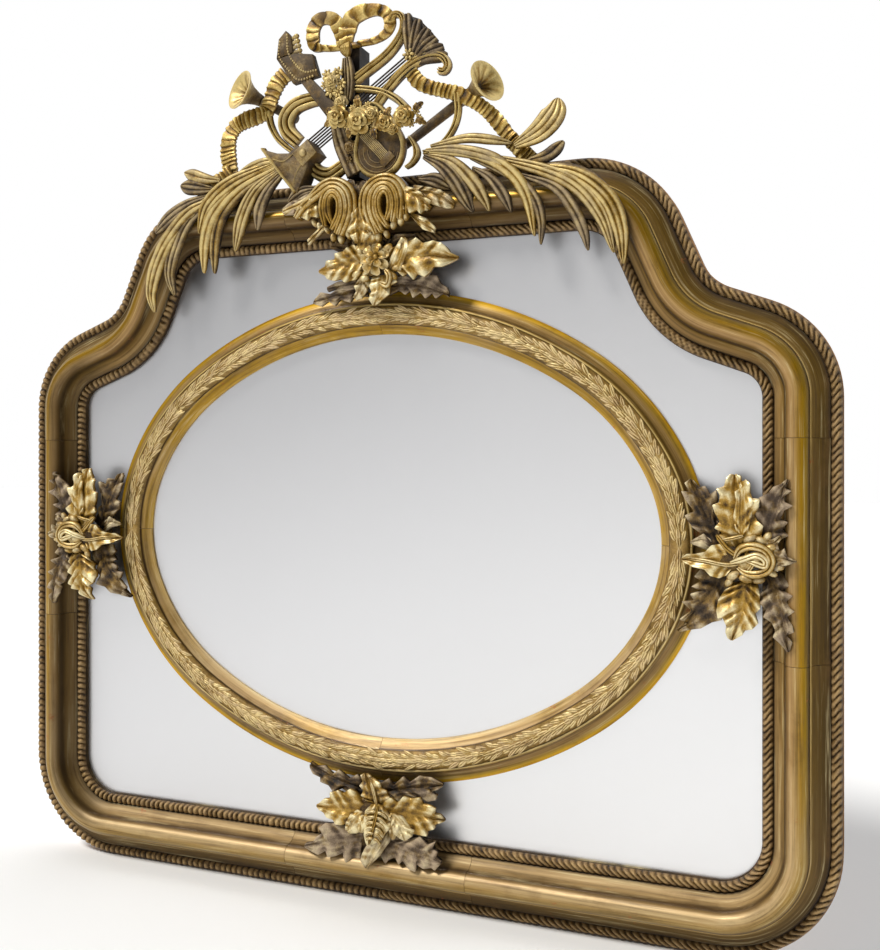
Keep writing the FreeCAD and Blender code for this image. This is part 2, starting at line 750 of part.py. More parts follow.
# ---- oval frame ---------------------------------------------------------------------------
def oval_section():
    edge = GLASS_FRONT + OVAL_EDGE_HEIGHT
    head = GLASS_FRONT + OVAL_COVE_HEIGHT
    seat = GLASS_FRONT + LAUREL_SEAT_HEIGHT
    laurel_start = OVAL_COVE_WIDTH + OVAL_FILLET_WIDTH
    laurel_end = laurel_start + LAUREL_WIDTH
    inner = GLASS_FRONT + OVAL_INNER_STEP
    foot = GLASS_FRONT + OVAL_INNER_EDGE_HEIGHT
    cove_belly = (OVAL_BELLY_INSET, edge + OVAL_BELLY_RISE)
    inner_belly = (laurel_end + OVAL_INNER_BELLY_INSET, foot + OVAL_INNER_BELLY_RISE)
    return section_of([
        (0.0, GLASS_FRONT),
        (0.0, edge),
        (OVAL_COVE_WIDTH, head) + cove_belly,
        (laurel_start, head),
        (laurel_start, seat),
        (laurel_end, seat),
        (laurel_end, inner),
        (OVAL_WIDTH, foot) + inner_belly,
        (OVAL_WIDTH, GLASS_FRONT)])


def laurel_section():
    start = OVAL_COVE_WIDTH + OVAL_FILLET_WIDTH + ROPE_PLAY
    end = start + LAUREL_WIDTH - 2 * ROPE_PLAY
    seat = GLASS_FRONT + LAUREL_SEAT_HEIGHT
    return section_of([(start, seat), (end, seat, (start + end) / 2, seat + LAUREL_HEIGHT)])


def oval_quarter(section):
    return stretch(OVAL, section, JOINT_GAP / 2, OVAL_QUARTER - JOINT_GAP / 2)


def oval_half(section):
    """Upper half of a member that runs round the oval."""
    right = stretch(OVAL, section, JOINT_GAP / 2, OVAL_QUARTER)
    return joined([right, mirrored(right)])


# ---- leaves -------------------------------------------------------------------------------
def leaf(root, tip, width, heights, thickness=LEAF_THICKNESS):
    """An arched pointed leaf from root to tip, given as places on the wall.

    The heights are those of its back above the glass at the root, the middle and the tip."""
    dx = tip[0] - root[0]
    dz = tip[1] - root[1]
    length = math.hypot(dx, dz)
    low = 0.0
    high = max(heights) + 2 * thickness
    a = Vector(0, 0, low)
    b = Vector(length, 0, low)
    left = Vector(length * LEAF_WIDEST, width / 2, low)
    right = Vector(length * LEAF_WIDEST, -width / 2, low)
    outline = Part.Face(Part.Wire([arc(a, left, b), arc(b, right, a)])).extrude(Vector(0, 0, high))
    under = [Vector(s * length, -width, h) for s, h in zip((0.0, 0.5, 1.0), heights)]
    over = [point + Vector(0, 0, thickness) for point in under]
    edges = [bow(under), line(under[2], over[2]), bow(over[::-1]), line(over[0], under[0])]
    layer = Part.Face(Part.Wire(edges)).extrude(Vector(0, 2 * width, 0))
    shape = outline.common(layer)
    # local X along the leaf, local Z towards the viewer
    angle = math.atan2(dz, dx)
    along = Vector(math.cos(angle), 0, math.sin(angle))
    out = Vector(0, -1, 0)
    across = out.cross(along)
    turn = FreeCAD.Matrix(along.x, across.x, out.x, root[0],
                          along.y, across.y, out.y, -GLASS_FRONT,
                          along.z, across.z, out.z, root[1],
                          0, 0, 0, 1)
    return placed(shape, turn)


def placed(shape, matrix):
    moved = shape.copy()
    moved.Placement = FreeCAD.Placement(matrix)
    return moved


def bow(points):
    """An arc through three points, or a line where they are in line."""
    first, middle, last = points
    if abs((middle - first).cross(last - first).Length) < 0.001:
        return line(first, last)
    return arc(first, middle, last)


# ---- clasps -------------------------------------------------------------------------------
class Clasp:
    """A clasp's middle, and its directions along the gap and towards the outer frame."""

    def __init__(self, x, z, along, outward, to_frame=DARK_TO_FRAME, tongue=FRAME_TONGUE_LENGTH):
        self.x = x
        self.z = z
        self.along = along
        self.outward = outward
        self.to_frame = to_frame
        self.tongue = tongue

    def point(self, a, b):
        x = self.x + a * self.along[0] + b * self.outward[0]
        z = self.z + a * self.along[1] + b * self.outward[1]
        return x, z

    def foliage(self):
        """The core on the glass and the four dark leaves that spring from it."""
        top = GLASS_FRONT + CLASP_CORE_HEIGHT
        pieces = [disc(self.x, self.z, CLASP_CORE_RADIUS, GLASS_FRONT, top)]
        for a in (-DARK_ALONG, DARK_ALONG):
            root = DARK_ROOT_HEIGHT
            frame_heights = (root, root + DARK_FRAME_ARCH, DARK_FRAME_HEIGHT)
            oval_heights = (root, root + DARK_OVAL_ARCH, DARK_OVAL_HEIGHT)
            pieces.append(leaf((self.x, self.z), self.point(a, self.to_frame), DARK_LEAF_WIDTH, frame_heights))
            pieces.append(leaf((self.x, self.z), self.point(a, -DARK_TO_OVAL), DARK_LEAF_WIDTH, oval_heights))
        return joined(pieces).cut(self.gilding())

    def gilding(self):
        """The bright leaves, tongues and bud on top of the core."""
        seat = GLASS_FRONT + CLASP_CORE_HEIGHT
        hub_top = seat + CLASP_HUB_HEIGHT
        pieces = [disc(self.x, self.z, CLASP_HUB_RADIUS, seat, hub_top)]
        pieces.append(Part.makeSphere(CLASP_BUD_RADIUS, at(self.x, self.z, hub_top), Vector(0, -1, 0)))
        root = CLASP_CORE_HEIGHT + LEAF_OVERLAP
        for a in (-GOLD_LEAF_LENGTH, GOLD_LEAF_LENGTH):
            heights = (root, root - GOLD_DROP, GOLD_TIP_HEIGHT)
            pieces.append(leaf((self.x, self.z), self.point(a, 0.0), GOLD_LEAF_WIDTH, heights))
        frame_heights = (root, root + TONGUE_ARCH, TORUS_CROWN_DEPTH - GLASS_FRONT + TONGUE_REST)
        oval_heights = (root, root - DARK_OVAL_ARCH, CLASP_CORE_HEIGHT - OVAL_TONGUE_DROP)
        pieces.append(leaf((self.x, self.z), self.point(0.0, self.tongue), TONGUE_WIDTH, frame_heights))
        pieces.append(leaf((self.x, self.z), self.point(0.0, -OVAL_TONGUE_LENGTH), TONGUE_WIDTH, oval_heights))
        return joined(pieces)


def clasps():
    side_x = (OVAL_HALF_LENGTH + SIGHT_SIDE) / 2
    low = (MOULDING_WIDTH + OVAL_CENTRE_Z - OVAL_HALF_HEIGHT) / 2
    high = (SIGHT_TOP + OVAL_CENTRE_Z + OVAL_HALF_HEIGHT) / 2
    side_z = OVAL_CENTRE_Z - SIDE_CLASP_DROP
    return {
        "right": Clasp(side_x, side_z, (0, 1), (1, 0)),
        "bottom": Clasp(0.0, low, (1, 0), (0, -1)),
        "top": Clasp(0.0, high, (1, 0), (0, 1), SHORT_DARK_REACH, SHORT_TONGUE_LENGTH)}


# ---- cresting -----------------------------------------------------------------------------
def band(first, through, last, width, back, front):
    """A flat curved band along the arc through three places."""
    ax, az = first
    bx, bz = through
    cx, cz = last
    d = 2 * (ax * (bz - cz) + bx * (cz - az) + cx * (az - bz))
    a2 = ax * ax + az * az
    b2 = bx * bx + bz * bz
    c2 = cx * cx + cz * cz
    ox = (a2 * (bz - cz) + b2 * (cz - az) + c2 * (az - bz)) / d
    oz = (a2 * (cx - bx) + b2 * (ax - cx) + c2 * (bx - ax)) / d

    def shifted(place, amount):
        reach = math.hypot(place[0] - ox, place[1] - oz)
        k = (reach + amount) / reach
        return at(ox + (place[0] - ox) * k, oz + (place[1] - oz) * k, back)

    places = (first, through, last)
    outer = [shifted(place, width / 2) for place in places]
    inner = [shifted(place, -width / 2) for place in places]
    edges = [arc(*outer), line(outer[2], inner[2]), arc(*inner[::-1]), line(inner[0], outer[0])]
    return plate(edges, back, front)


def chain(places, width, back, front):
    """Bands through a list of places: each takes two steps and starts where the last ended."""
    pieces = []
    for index in range(0, len(places) - 2, 2):
        pieces.append(band(places[index], places[index + 1], places[index + 2], width, back, front))
    for x, z in places[2:-1:2]:
        pieces.append(disc(x, z, width / 2, back, front))
    return joined(pieces)


def blade(root, through, tip, width, back, front):
    """A curved blade, narrow at its root, broad in the middle and pointed at its tip."""
    dx = tip[0] - root[0]
    dz = tip[1] - root[1]
    length = math.hypot(dx, dz)
    nx = -dz / length
    nz = dx / length
    base = width * BLADE_ROOT_SHARE
    left = at(root[0] + nx * base, root[1] + nz * base, back)
    right = at(root[0] - nx * base, root[1] - nz * base, back)
    half = width / 2
    left_middle = at(through[0] + nx * half, through[1] + nz * half, back)
    right_middle = at(through[0] - nx * half, through[1] - nz * half, back)
    end = at(tip[0], tip[1], back)
    edges = [line(right, left), arc(left, left_middle, end), arc(end, right_middle, right)]
    return plate(edges, back, front)


def on_crest(x, z):
    """A place on the wall from squares right of the centre line and above the frame."""
    return x * CARVING_GRID, FRAME_TOP + z * CARVING_GRID


def drawn(squares):
    return [on_crest(x, z) for x, z in squares]


def polygon(squares, back, front):
    """A flat piece with straight sides."""
    corners = [at(x, z, back) for x, z in drawn(squares)]
    edges = [line(a, b) for a, b in zip(corners, corners[1:] + corners[:1])]
    return plate(edges, back, front)


def crest_post():
    half = POST_WIDTH / 2
    top = FRAME_TOP + POST_RISE
    post = slab(POST_X - half, POST_X + half, FRAME_TOP, top, POST_BACK, TROPHY_BACK)
    return joined([post, post_tenon(0.0)])


def lyre_frame():
    """A lyre laid aslant: foot and block at the lower left, arms to the upper right."""
    back = TROPHY_BACK
    front = TROPHY_BACK + TROPHY_LAYER
    upper = [(-13.6, 6.3), (-16.0, 10.8), (-10.8, 13.3), (-6.2, 14.1), (-2.0, 16.1),
             (3.5, 19.3), (6.0, 23.5), (5.5, 25.3), (3.8, 25.7)]
    lower = [(-11.8, 3.5), (-8.4, 0.5), (-4.4, 1.9), (-1.4, 5.3), (0.6, 10.3),
             (3.8, 14.3), (8.4, 17.1), (12.4, 17.5), (13.4, 15.3)]
    arms = [chain(drawn(places), LYRE_ARM_WIDTH, back, front) for places in (upper, lower)]
    block_x, block_z = on_crest(-13.0, 4.6)
    block = disc(block_x, block_z, LYRE_BLOCK_RADIUS, back, front + LYRE_BLOCK_RISE)
    foot = polygon([(-20.7, 5.7), (-14.4, -2.1), (-11.8, 3.5), (-14.2, 5.7)], back, front)
    crossbar = band(*drawn([(-2.4, 13.5), (3.0, 12.7), (6.6, 9.9)]), LYRE_BAR_WIDTH, back, front)
    return joined(arms + [block, foot, crossbar])


def lyre_strings():
    """Brass strings from the block to the plume, halfway through the arms' thickness."""
    depth = TROPHY_BACK + TROPHY_LAYER / 2
    start, end = [at(x, z, depth) for x, z in drawn([(-12.2, 5.7), (6.6, 18.1)])]
    along = end - start
    across = Vector(-along.z, 0, along.x).normalize()
    strings = []
    for index in range(STRING_COUNT):
        shift = across * (STRING_PITCH * (index - (STRING_COUNT - 1) / 2))
        strings.append(Part.makeCylinder(STRING_RADIUS, along.Length, start + shift, along))
    return strings


def plume():
    """The ribbed fan between the ends of the lyre's arms."""
    back = TROPHY_BACK
    front = TROPHY_BACK + TROPHY_LAYER
    places = drawn([(7.4, 18.1), (6.2, 25.9), (10.8, 22.9), (13.0, 18.5)])
    corners = [at(x, z, back) for x, z in places]
    edges = [line(corners[0], corners[1]), arc(corners[1], corners[2], corners[3]), line(corners[3], corners[0])]
    return plate(edges, back, front)


def ribbon_bow():
    back = TROPHY_BACK
    front = TROPHY_BACK + RIBBON_THICKNESS
    knot = (-5.0, 21.4)
    right = [knot, (-4.4, 26.3), (-1.4, 27.9), (2.2, 27.3), (3.3, 24.1), (1.4, 21.9), (-1.0, 21.9),
             (-3.0, 21.3), knot]
    left = [knot, (-5.2, 25.9), (-6.2, 27.5), (-9.2, 28.1), (-11.2, 26.7), (-11.8, 23.9), (-10.0, 22.1),
            (-7.4, 21.9), knot]
    loops = [chain(drawn(places), LOOP_WIDTH, back, front) for places in (right, left)]
    knot_x, knot_z = on_crest(*knot)
    return joined(loops + [disc(knot_x, knot_z, KNOT_RADIUS, back, front + KNOT_RISE)])


def ribbon(fall, tail):
    """A broad fall of ribbon with a narrow tail."""
    back = TROPHY_BACK
    front = TROPHY_BACK + RIBBON_THICKNESS
    broad = chain(drawn(fall), RIBBON_WIDTH, back, front)
    return joined([broad, chain(drawn(tail), TAIL_WIDTH, back, front)])


def ribbon_left():
    fall = [(-16.6, 17.9), (-19.0, 15.7), (-20.0, 12.5), (-23.6, 11.9), (-26.6, 10.3), (-27.6, 7.9),
            (-27.6, 5.7), (-27.2, 2.9), (-28.6, 1.3), (-30.4, 0.5), (-32.6, -1.3)]
    return ribbon(fall, [(-20.0, 11.9), (-18.8, 8.3), (-16.0, 5.7), (-14.8, 4.3), (-14.0, 2.5)])


def ribbon_right():
    fall = [(7.6, 15.9), (11.2, 13.1), (15.0, 11.5), (19.8, 8.9), (23.2, 5.3), (24.0, 3.1), (25.2, 1.3),
            (26.6, -0.1), (28.4, -1.1)]
    return ribbon(fall, [(15.4, 11.3), (15.0, 6.3), (12.0, 2.9), (10.8, 2.3), (9.4, 2.1)])


def trumpet(end, mouth):
    """A horn with a flared bell, from its plain end to its mouth."""
    start, finish = [at(x, z, TRUMPET_AXIS_DEPTH) for x, z in drawn([end, mouth])]
    axis = finish - start
    length = axis.Length
    neck = length - TRUMPET_BELL_LENGTH
    a = Vector(0, 0, 0)
    b = Vector(TRUMPET_END_RADIUS, 0, 0)
    c = Vector(TRUMPET_TUBE_RADIUS, 0, neck)
    waist = Vector(TRUMPET_WAIST_RADIUS, 0, neck + TRUMPET_WAIST_LENGTH)
    lip = Vector(TRUMPET_BELL_RADIUS, 0, length)
    rim = Vector(TRUMPET_BELL_RADIUS - TRUMPET_RIM, 0, length)
    throat = Vector(0, 0, length - TRUMPET_THROAT)
    edges = [line(a, b), line(b, c), arc(c, waist, lip), line(lip, rim), line(rim, throat), line(throat, a)]
    horn = Part.Face(Part.Wire(edges)).revolve(Vector(0, 0, 0), Vector(0, 0, 1), 360.0)
    return placed(horn, FreeCAD.Placement(start, FreeCAD.Rotation(Vector(0, 0, 1), axis)).toMatrix())


def lute_body():
    """The bowl of a small lute with a raised rim."""
    back = TROPHY_BACK + TROPHY_LAYER
    front = back + TROPHY_LAYER
    x, z = on_crest(1.5, 3.6)
    shoulder_x, shoulder_z = on_crest(0.2, 7.3)
    bowl = disc(x, z, LUTE_RADIUS, back, front)
    shoulder = disc(shoulder_x, shoulder_z, LUTE_SHOULDER_RADIUS, back, front)
    well = disc(x, z, LUTE_RADIUS - LUTE_RIM, front - LUTE_WELL_DEPTH, front)
    return joined([bowl, shoulder]).cut(well)


def lute_neck(body):
    """The neck and bent pegbox of the lute, crossing the lyre."""
    back = TROPHY_BACK + TROPHY_LAYER
    front = back + TROPHY_LAYER
    neck = [(-12.8, 17.3), (-14.2, 15.9), (-7.0, 9.1), (-4.6, 11.1)]
    box = [(-17.8, 21.7), (-15.6, 16.5), (-9.8, 17.7), (-11.6, 21.5), (-14.6, 21.9)]
    scroll = [(-18.2, 24.9), (-18.0, 21.3), (-13.4, 21.9), (-14.8, 24.7), (-16.2, 25.9)]
    stem = [(-6.0, 9.1), (-0.8, 9.1), (-0.8, 11.5), (-6.0, 11.5)]
    pieces = [polygon(squares, back, front) for squares in (neck, box, scroll, stem)]
    return joined(pieces).cut(body)


def rose_garland():
    """Flower heads on a leafy bed across the lute."""
    back = TROPHY_BACK + 2 * TROPHY_LAYER
    bed = drawn([(-5.6, 9.5), (-1.6, 8.9), (1.6, 7.9), (4.4, 7.3), (7.4, 8.3)])
    pieces = [chain(bed, GARLAND_WIDTH, back, back + GARLAND_THICKNESS)]
    for x, z, size in ((-5.6, 9.5, 1.0), (-1.4, 8.3, 1.25), (3.0, 7.5, 0.95), (6.8, 8.1, 1.15)):
        place_x, place_z = on_crest(x, z)
        centre = at(place_x, place_z, back)
        pieces.append(Part.makeSphere(ROSE_RADIUS * size, centre, Vector(0, -1, 0), 0, 90, 360))
    return joined(pieces)


def palm_blades():
    """Root, middle and tip of each blade of the right spray."""
    return [[(11.2, 1.9), (22.6, 1.1), (33.0, -3.1)],
            [(11.2, 1.3), (25.0, -2.1), (39.8, -15.5)],
            [(11.2, 0.7), (24.0, -3.7), (36.0, -13.3)],
            [(11.2, 0.1), (21.2, -4.9), (29.2, -13.5)],
            [(11.2, -0.5), (19.0, -4.7), (24.4, -9.3)],
            [(11.2, -1.1), (16.0, -4.5), (20.8, -8.9)],
            [(23.6, 1.3), (29.0, 2.7), (32.2, 7.7)],
            [(27.0, -1.1), (30.6, -0.9), (33.4, 1.5)]]


def palm_spray():
    back = TORUS_CROWN_DEPTH + FRONT_SEAT_GAP
    front = back + PALM_THICKNESS
    pieces = [blade(*drawn(places), PALM_WIDTH, back, front) for places in palm_blades()]
    roots = drawn([(9.8, -2.1), (10.6, 0.3), (11.8, 3.5)])
    return joined(pieces + [blade(*roots, 2 * PALM_WIDTH, back, front)])


def acanthus_cresting():
    """Two scrolls back to back with side leaves and a falling middle leaf."""
    back = TORUS_CROWN_DEPTH + FRONT_SEAT_GAP
    front = back + SCROLL_THICKNESS
    eye_z = FRAME_TOP - SCROLL_DROP
    height = back - GLASS_FRONT
    side_height = height + PALM_THICKNESS + FRONT_SEAT_GAP
    side_heights = (side_height, side_height + SIDE_LEAF_ARCH, side_height)
    low_heights = (side_height, side_height + LOW_LEAF_ARCH, side_height - LOW_LEAF_DIP)
    pieces = []
    eyes = []
    for side in (-1, 1):
        x = SCROLL_MIDDLE_X + side * SCROLL_SPREAD
        pieces.append(disc(x, eye_z, SCROLL_RADIUS, back, front))
        eyes.append(disc(x, eye_z, SCROLL_EYE_RADIUS, front - SCROLL_EYE_DEPTH, front))
        tip = (SCROLL_MIDDLE_X + side * SIDE_LEAF_REACH, eye_z - SIDE_LEAF_DROP)
        pieces.append(leaf((x, eye_z), tip, SIDE_LEAF_WIDTH, side_heights, CREST_LEAF_THICKNESS))
        low_root = (x, eye_z - LOW_LEAF_START)
        low_tip = (SCROLL_MIDDLE_X + side * LOW_LEAF_REACH, eye_z - LOW_LEAF_DROP)
        pieces.append(leaf(low_root, low_tip, LOW_LEAF_WIDTH, low_heights, CREST_LEAF_THICKNESS))
    pieces.append(disc(SCROLL_MIDDLE_X, eye_z - BOSS_DROP, BOSS_RADIUS, back, front - BOSS_SET_BACK))
    fall = height + FALL_LIFT
    fall_heights = (fall, fall + FALL_ARCH, fall - FALL_DIP)
    fall_root = (SCROLL_MIDDLE_X, eye_z + FALL_RISE)
    fall_tip = (SCROLL_MIDDLE_X, eye_z - FALL_DROP)
    pieces.append(leaf(fall_root, fall_tip, FALL_WIDTH, fall_heights, CREST_LEAF_THICKNESS))
    return joined(pieces).cut(group(eyes))


# ---- the whole assembly -------------------------------------------------------------------
def pair(parts, name, shape):
    """A right-hand piece and its mirror image."""
    parts[name + "_right"] = shape
    parts[name + "_left"] = mirrored(shape)


def assembly():
    parts = {}
    parts["carcass_bottom_rail"] = bottom_rail()
    parts["carcass_top_rail"] = top_rail()
    pair(parts, "carcass_stile", right_stile())
    pair(parts, "back_panel", back_panel())
    parts["upper_batten"] = cross_batten(UPPER_BATTEN_Z)
    parts["lower_batten"] = cross_batten(LOWER_BATTEN_Z)
    parts["glazing_blocks"] = glazing_blocks()
    parts["back_screws"] = back_screws()
    parts["hanger_straps"] = hanger_straps()
    pair(parts, "hanger_ring", hanger_ring())

    parts["oval_mirror_plate"] = oval_mirror_plate()
    pair(parts, "spandrel_plate_upper", spandrel(OVAL_CENTRE_Z + PLATE_GAP / 2, FRAME_TOP))
    pair(parts, "spandrel_plate_lower", spandrel(0.0, OVAL_CENTRE_Z - PLATE_GAP / 2))

    reach = CLASP_REACH - JOINT_GAP / 2
    parts["moulding_bottom"] = middle_moulding(0.0, reach)
    parts["moulding_top"] = middle_moulding(FRAME_LENGTH - reach, FRAME_LENGTH)
    for name, length in zip(("lower", "side", "shoulder"), side_lengths()):
        pair(parts, "moulding_" + name, length)
    pair(parts, "outer_rope", half_rope(outer_rope_section()))
    pair(parts, "sight_rope", half_rope(sight_rope_section()))

    quarter = oval_quarter(oval_section())
    pair(parts, "oval_moulding_upper", quarter)
    pair(parts, "oval_moulding_lower", flipped(quarter))
    upper_laurel = oval_half(laurel_section())
    parts["laurel_band_upper"] = upper_laurel
    parts["laurel_band_lower"] = flipped(upper_laurel)

    for name, clasp in clasps().items():
        parts["clasp_" + name + "_foliage"] = clasp.foliage()
        parts["clasp_" + name + "_gilding"] = clasp.gilding()
    for layer in ("_foliage", "_gilding"):
        parts["clasp_left" + layer] = mirrored(parts["clasp_right" + layer])

    lyre = lyre_frame()
    strings = lyre_strings()
    bow_shape = ribbon_bow()
    parts["crest_post"] = crest_post()
    parts["lyre_frame"] = lyre.cut(bow_shape)
    parts["lyre_strings"] = group([string.cut(lyre) for string in strings])
    parts["lyre_plume"] = plume().cut(lyre)
    parts["ribbon_bow"] = bow_shape
    parts["ribbon_left"] = ribbon_left().cut(lyre)
    parts["ribbon_right"] = ribbon_right().cut(lyre)
    parts["trumpet_left"] = trumpet((-15.8, 11.4), (-26.2, 17.3))
    parts["trumpet_right"] = trumpet((4.0, 4.3), (20.2, 14.3))
    body = lute_body()
    parts["lute_body"] = body
    parts["lute_neck"] = lute_neck(body)
    parts["rose_garland"] = rose_garland()
    pair(parts, "palm_spray", palm_spray())
    parts["acanthus_cresting"] = acanthus_cresting()
    return parts


def main():
    os.makedirs("parts", exist_ok=True)
    for name, shape in assembly().items():
        shape.exportStep("parts/" + name + ".step")
        print(name, len(shape.Solids), round(shape.Volume), shape.isValid())


main()
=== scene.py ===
import json
import math

import bmesh
import bpy
import numpy as np
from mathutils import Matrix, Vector


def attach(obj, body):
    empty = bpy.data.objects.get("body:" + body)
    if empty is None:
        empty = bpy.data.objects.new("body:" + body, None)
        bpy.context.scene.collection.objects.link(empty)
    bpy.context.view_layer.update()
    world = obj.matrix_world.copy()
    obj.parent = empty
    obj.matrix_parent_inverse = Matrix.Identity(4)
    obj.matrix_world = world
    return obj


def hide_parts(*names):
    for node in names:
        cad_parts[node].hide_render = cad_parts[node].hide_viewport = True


# Shapes are drawn in millimetres: x to the viewer's right, z up, d in front of the wall.
MM = 1000.0
# The eye. Most carvings are read in the photograph as places in a plane of one depth, called read.
EYE_X, EYE_Z, EYE_D = 760.6, 768.4, 1687.3
CLASP_READ, TOP_READ, CREST_READ = 82.0, 84.0, 67.0
# Depth of the glass, and of the backs of the cresting's flat pieces and of the lute.
GLASS, CREST_BED, LUTE_BED = 22.0, 50.0, 63.6
# The frame's bottom rail from its middle to the corner, the corner's radius and the straight side.
HALF_BOTTOM, CORNER, SIDE = 556.2, 180.0, 662.7
# The oval's middle height, and half its width and height.
OVAL_Z, OVAL_WIDE, OVAL_HIGH = 617.2, 544.5, 416.0

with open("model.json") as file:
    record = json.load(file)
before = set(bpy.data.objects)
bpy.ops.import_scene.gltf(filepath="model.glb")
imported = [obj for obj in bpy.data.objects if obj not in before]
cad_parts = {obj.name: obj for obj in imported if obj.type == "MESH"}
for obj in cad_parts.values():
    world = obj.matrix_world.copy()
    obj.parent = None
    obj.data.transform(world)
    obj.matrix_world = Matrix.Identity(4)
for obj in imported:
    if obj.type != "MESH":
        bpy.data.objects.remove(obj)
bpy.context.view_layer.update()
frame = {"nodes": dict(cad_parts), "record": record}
rng = np.random.default_rng(11)


# ---- lines ---------------------------------------------------------------------------------
def gaps(line):
    """The distance from each point of a line to the next."""
    return np.linalg.norm(np.diff(line, axis=0), axis=1)


def travel(line):
    """How far along a line each of its points is."""
    return np.r_[0, np.cumsum(gaps(line))]


def columns_at(places, run, table):
    """The columns of a table, read between its rows at places along run."""
    return np.stack([np.interp(places, run, column) for column in table.T], -1)


def even(points, count):
    """Evenly spaced points on the straight runs between the given ones."""
    p = np.asarray(points, float)
    run = travel(p)
    return columns_at(np.linspace(0, run[-1], count), run, p)


def smooth(points, count):
    """Evenly spaced points on a smooth line through the given ones."""
    p = np.asarray(points, float)
    ends = np.vstack([2 * p[0] - p[1], p, 2 * p[-1] - p[-2]])
    t = np.linspace(0, 1, 16, endpoint=False)[:, None]
    fine = []
    for a, b, c, e in zip(ends, ends[1:], ends[2:], ends[3:]):
        fine.append(0.5 * (2 * b + (c - a) * t + (2 * a - 5 * b + 4 * c - e) * t**2
                           + (3 * b - a - 3 * c + e) * t**3))
    return even(np.vstack(fine + [p[-1:]]), count)


def graded(count, places, values):
    """Values at even steps from 0 to 1, read between the given ones."""
    return np.interp(np.linspace(0, 1, count), places, values)


def sighted(x, z, read, depth):
    """Places read in the plane at depth read, moved along the line of sight to another depth."""
    k = (EYE_D - depth) / (EYE_D - read)
    return EYE_X + (x - EYE_X) * k, EYE_Z + (z - EYE_Z) * k


def placed(points, read, depth, flip=1):
    """A line through places read in one plane and moved to their own depths; flip -1 mirrors it."""
    p = np.asarray(points, float)
    x, z = sighted(p[:, 0], p[:, 1], read, depth)
    return np.stack([flip * x, z, np.broadcast_to(np.asarray(depth, float), x.shape)], 1)


def at_height(points, read, depth):
    """The same places as placed gives, without their depth."""
    return placed(points, read, depth)[:, :2]


def trace(x, z, heading, steps, spacing):
    """Points and headings along tangent runs of (length, radius, turn)."""
    rows = []
    for length, radius, turn in steps:
        total = length if radius == 0 else radius * abs(turn)
        s = np.linspace(0, total, max(2, int(total / spacing)), endpoint=False)
        if radius == 0:
            px, pz, ph = x + s * math.cos(heading), z + s * math.sin(heading), heading + 0 * s
            x, z = x + total * math.cos(heading), z + total * math.sin(heading)
        else:
            side = 1 if turn > 0 else -1
            cx, cz = x - side * radius * math.sin(heading), z + side * radius * math.cos(heading)
            ph = heading + side * s / radius
            px, pz = cx + side * radius * np.sin(ph), cz - side * radius * np.cos(ph)
            heading += turn
            x, z = cx + side * radius * math.sin(heading), cz - side * radius * math.cos(heading)
        rows.append(np.stack([px, pz, ph], 1))
    rows.append(np.array([[x, z, heading]]))
    return np.vstack(rows)


def frame_trace(spacing):
    """The right half of the frame's outline, from the middle of the bottom to that of the top."""
    first, hollow = math.radians(69.3), math.radians(45.8)
    steps = [(HALF_BOTTOM, 0, 0), (0, CORNER, math.pi / 2), (SIDE, 0, 0), (0, 155.0, first), (63.7, 0, 0),
             (0, 73.8, -hollow), (82.0, 0, 0), (0, 169.4, math.pi / 2 - first + hollow)]
    rows = trace(0, 0, 0, steps, spacing)
    rest = rows[-1, 0]
    return np.vstack([rows[:-1], trace(rest, rows[-1, 1], math.pi, [(rest, 0, 0)], spacing)])


def oval_trace(spacing):
    """The upper right quarter of the oval's outer edge as three arcs, from its end to its top."""
    a, b = OVAL_WIDE, OVAL_HIGH
    first, second = math.radians(26), math.radians(56)
    middle = (first + second) / 2
    r2 = (a * b) ** 2 / ((a * math.cos(middle)) ** 2 + (b * math.sin(middle)) ** 2) ** 1.5
    m = np.array([[1 - math.cos(first), math.cos(second)], [math.sin(first), 1 - math.sin(second)]])
    q = [a - r2 * (math.cos(first) - math.cos(second)), b - r2 * (math.sin(second) - math.sin(first))]
    r1, r3 = np.linalg.solve(m, q)
    steps = [(0, r1, first), (0, r2, second - first), (0, r3, math.pi / 2 - second)]
    return trace(a, OVAL_Z, math.pi / 2, steps, spacing)


def inset(rows, inward, depth):
    """A traced line moved inwards, at a depth."""
    x = rows[:, 0] - inward * np.sin(rows[:, 2])
    z = rows[:, 1] + inward * np.cos(rows[:, 2])
    return np.stack([x, z, np.full(len(rows), float(depth))], 1)


def sides(line):
    """Unit vectors across a line, to its left."""
    t = np.gradient(line[:, :2], axis=0)
    t /= np.maximum(np.linalg.norm(t, axis=1), 1e-9)[:, None]
    return np.stack([-t[:, 1], t[:, 0]], 1)


# ---- meshes --------------------------------------------------------------------------------
def added(name, data):
    """A new object in the scene."""
    obj = bpy.data.objects.new(name, data)
    bpy.context.scene.collection.objects.link(obj)
    return obj


def quads(*corners):
    """Faces from four arrays with the numbers of their corners."""
    return list(zip(*(corner.ravel().tolist() for corner in corners)))


def tube(rings, around, closed=True):
    """The faces between rings of points, and those that close the ends."""
    index = np.arange(rings * around).reshape(rings, around)
    after = np.roll(index, -1, 1)
    faces = quads(index[:-1], after[:-1], after[1:], index[1:])
    if closed:
        faces += [tuple(index[0].tolist())[::-1], tuple(index[-1].tolist())]
    return faces


def grid(rows, columns):
    """Steps from 0 to 1 down a grid and from -1 to 1 across it."""
    return np.linspace(0, 1, rows)[:, None], np.linspace(-1, 1, columns)[None, :]


def fluting(t, count):
    """Ridges across from -1 to 1: one on each ridge and nought between them."""
    return np.abs(np.sin(np.pi * count * (t + 1) / 2)) ** 0.7


